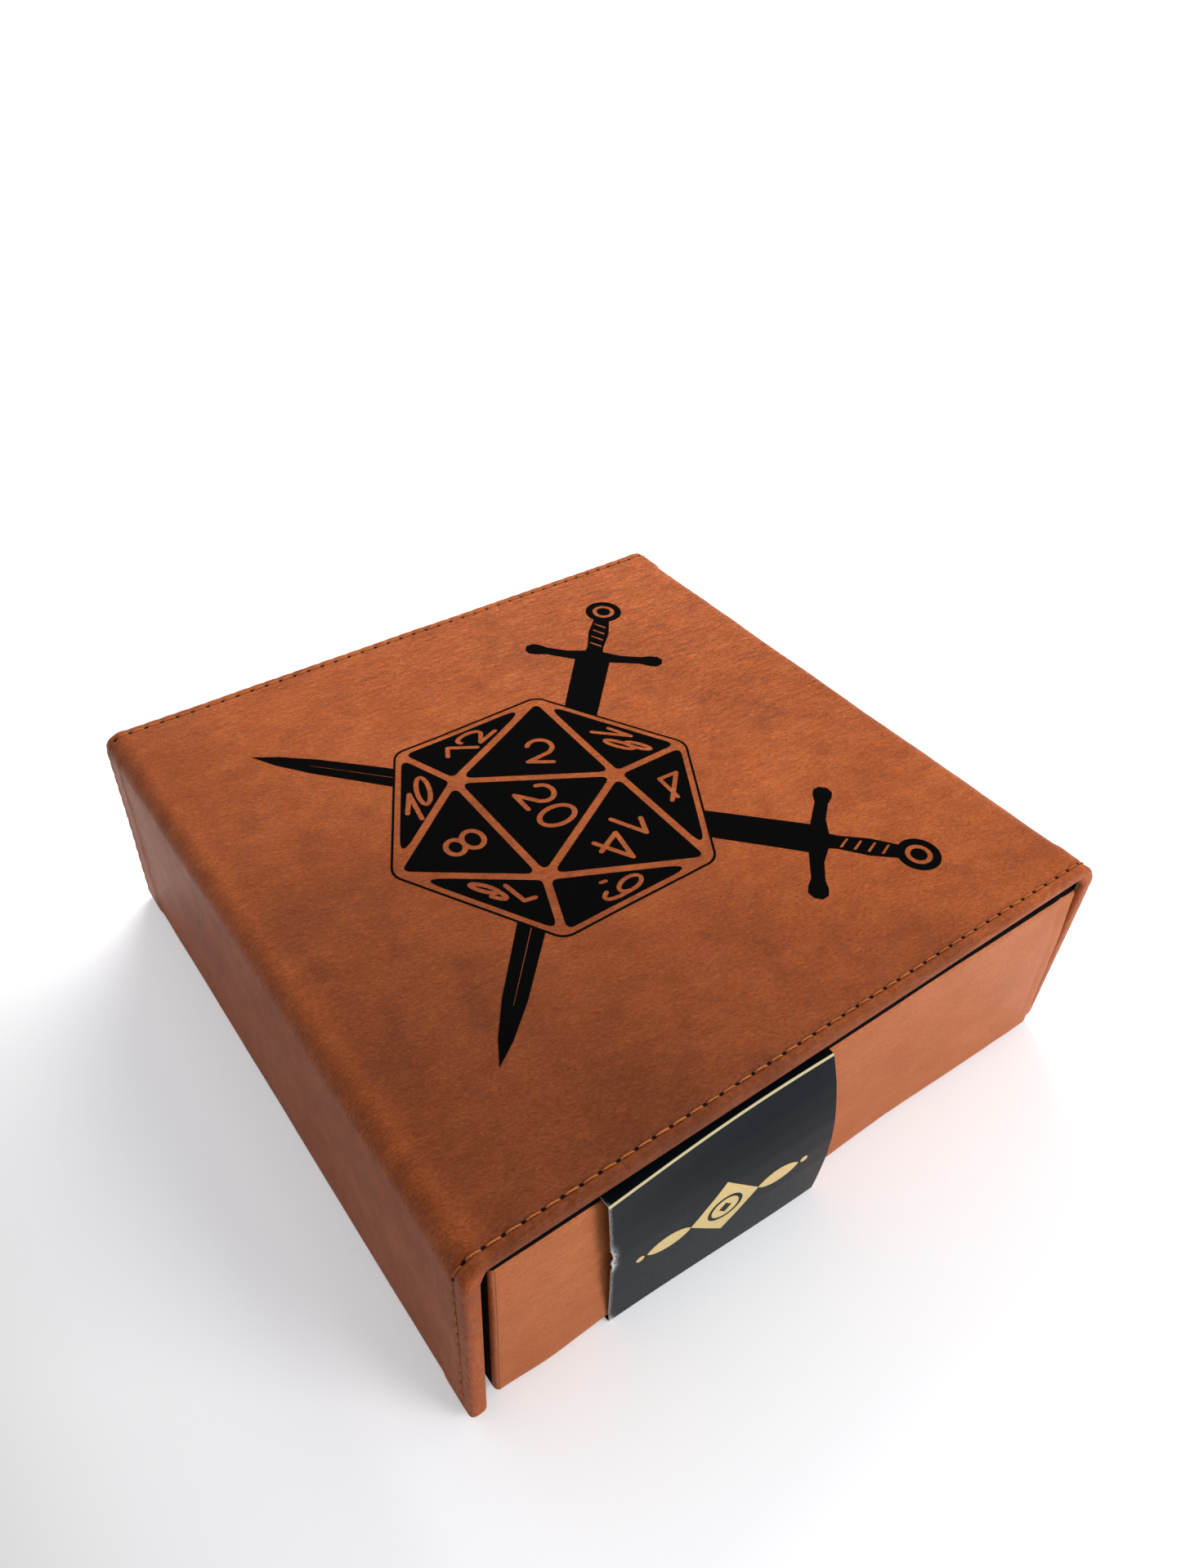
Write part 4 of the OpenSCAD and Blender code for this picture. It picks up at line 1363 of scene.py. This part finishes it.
# ------------------------------------------------------------------ floor, lights and camera, in m
def floor_material():
    """White paper that glows a little when seen directly, a painted brightening, and is darker towards
    -x, a painted shade.
    """
    g = Material("floor")
    position = g.node("NewGeometry").outputs["Position"]
    distance = g.node("VectorMath", {0: position}, operation="LENGTH").outputs["Value"]
    # the far floor lies behind the window light's plane, so it glows more to hide the line there
    glow = g.plus(g.remap(distance, span=(0.16, 0.75), to=(0.31, 0.34)),
                  g.remap(distance, span=(0.46, 0.68), to=(0.0, 0.13)))
    # painted shade: the floor's colour and glow fall off towards -x
    bright = g.remap(g.split(position)[0], span=(-0.25, -0.12))
    glow = g.times(glow, g.math("MULTIPLY_ADD", bright, 0.75, 0.25))
    glow = g.times(glow, g.node("LightPath").outputs["Is Camera Ray"])
    colour = g.mix(bright, (0.44, 0.415, 0.41), (0.93, 0.935, 0.945))
    return g.finish(Base_Color=colour, Roughness=0.75, Specular_IOR_Level=0.2,
                    Emission_Color=(0.95, 0.97, 1.0), Emission_Strength=glow)


def plain_object(name, verts, faces):
    mesh = bpy.data.meshes.new(name)
    mesh.from_pydata(verts, [], faces)
    obj = bpy.data.objects.new(name, mesh)
    scene.collection.objects.link(obj)
    return obj


def build_floor(half=9.0, lines=40, z=-0.0002):
    spots = np.linspace(-half, half, lines)
    floor = plain_object("floor", [(x, y, z) for x in spots for y in spots],
                         grid_faces(lines, lines).tolist())
    floor.data.materials.append(floor_material())


def build_world():
    """Pale sky, a little brighter towards the rear, the spine side and above."""
    world = bpy.data.worlds.new("w")
    scene.world = world
    world.use_nodes = True
    g = Graph(world.node_tree)
    background = world.node_tree.nodes["Background"]
    g.put(background.inputs[0], (0.93, 0.965, 1.0))
    facing = g.node("VectorMath", {0: g.node("TexCoord").outputs["Generated"],
                                   1: Vector((0.50, 0.62, 0.60)).normalized()},
                    operation="DOT_PRODUCT").outputs["Value"]
    g.put(background.inputs[1], g.remap(facing, span=(-0.35, 0.95), to=(0.56, 0.70), smooth=True))


def add_light(name, location, target, size, power, colour):
    light = bpy.data.lights.new(name, "AREA")
    light.shape = "DISK"
    light.size = size
    light.energy = power
    light.color = colour
    obj = bpy.data.objects.new(name, light)
    obj.location = location
    toward = Vector(target) - Vector(location)
    obj.rotation_euler = toward.to_track_quat("-Z", "Y").to_euler()
    scene.collection.objects.link(obj)
    return obj


def build_flag(radius=0.26, location=(-0.24, -0.31, 0.42), target=(0, 0, 0.05)):
    """A black card behind the camera, facing the box."""
    rim = [(radius * cos(t), radius * sin(t), 0) for t in np.linspace(0, 2 * pi, 32, endpoint=False)]
    flag = plain_object("flag", rim, [list(range(32))])
    flag.location = location
    toward = Vector(target) - flag.location
    flag.rotation_euler = toward.to_track_quat("Z", "Y").to_euler()
    flag.visible_camera = False
    black = Material("flag").finish(Base_Color=(0.02, 0.02, 0.02), Roughness=1.0)
    flag.data.materials.append(black)


def build_camera():
    camera = bpy.data.cameras.new("cam")
    camera.sensor_width = 36
    camera.lens = 26.90
    camera.clip_start, camera.clip_end = 0.01, 50
    obj = bpy.data.objects.new("cam", camera)
    scene.collection.objects.link(obj)
    right = Vector((0.80658812, -0.58996773, 0.03679233))
    up = Vector((0.3650722, 0.54613645, 0.75396105))
    forward = Vector((0.46490632, 0.59470417, -0.655888))
    matrix = Matrix((right, up, -forward)).transposed().to_4x4()
    matrix.translation = Vector((-0.155314, -0.202983, 0.297252))
    obj.matrix_world = matrix
    scene.camera = obj


build_floor()
build_world()
window = add_light("window", location=(0.22, 0.36, 0.36), target=(0, 0.0, 0.05), size=0.40,
                   power=3.0, colour=(1.0, 0.985, 0.96))
window.visible_glossy = False
add_light("front", location=(0.55, -1.05, 0.50), target=(0, 0, 0.03), size=0.7, power=9.8,
          colour=(1.0, 0.97, 0.95))
build_flag()
build_camera()
scene.view_settings.view_transform = "Standard"
scene.view_settings.look = "None"
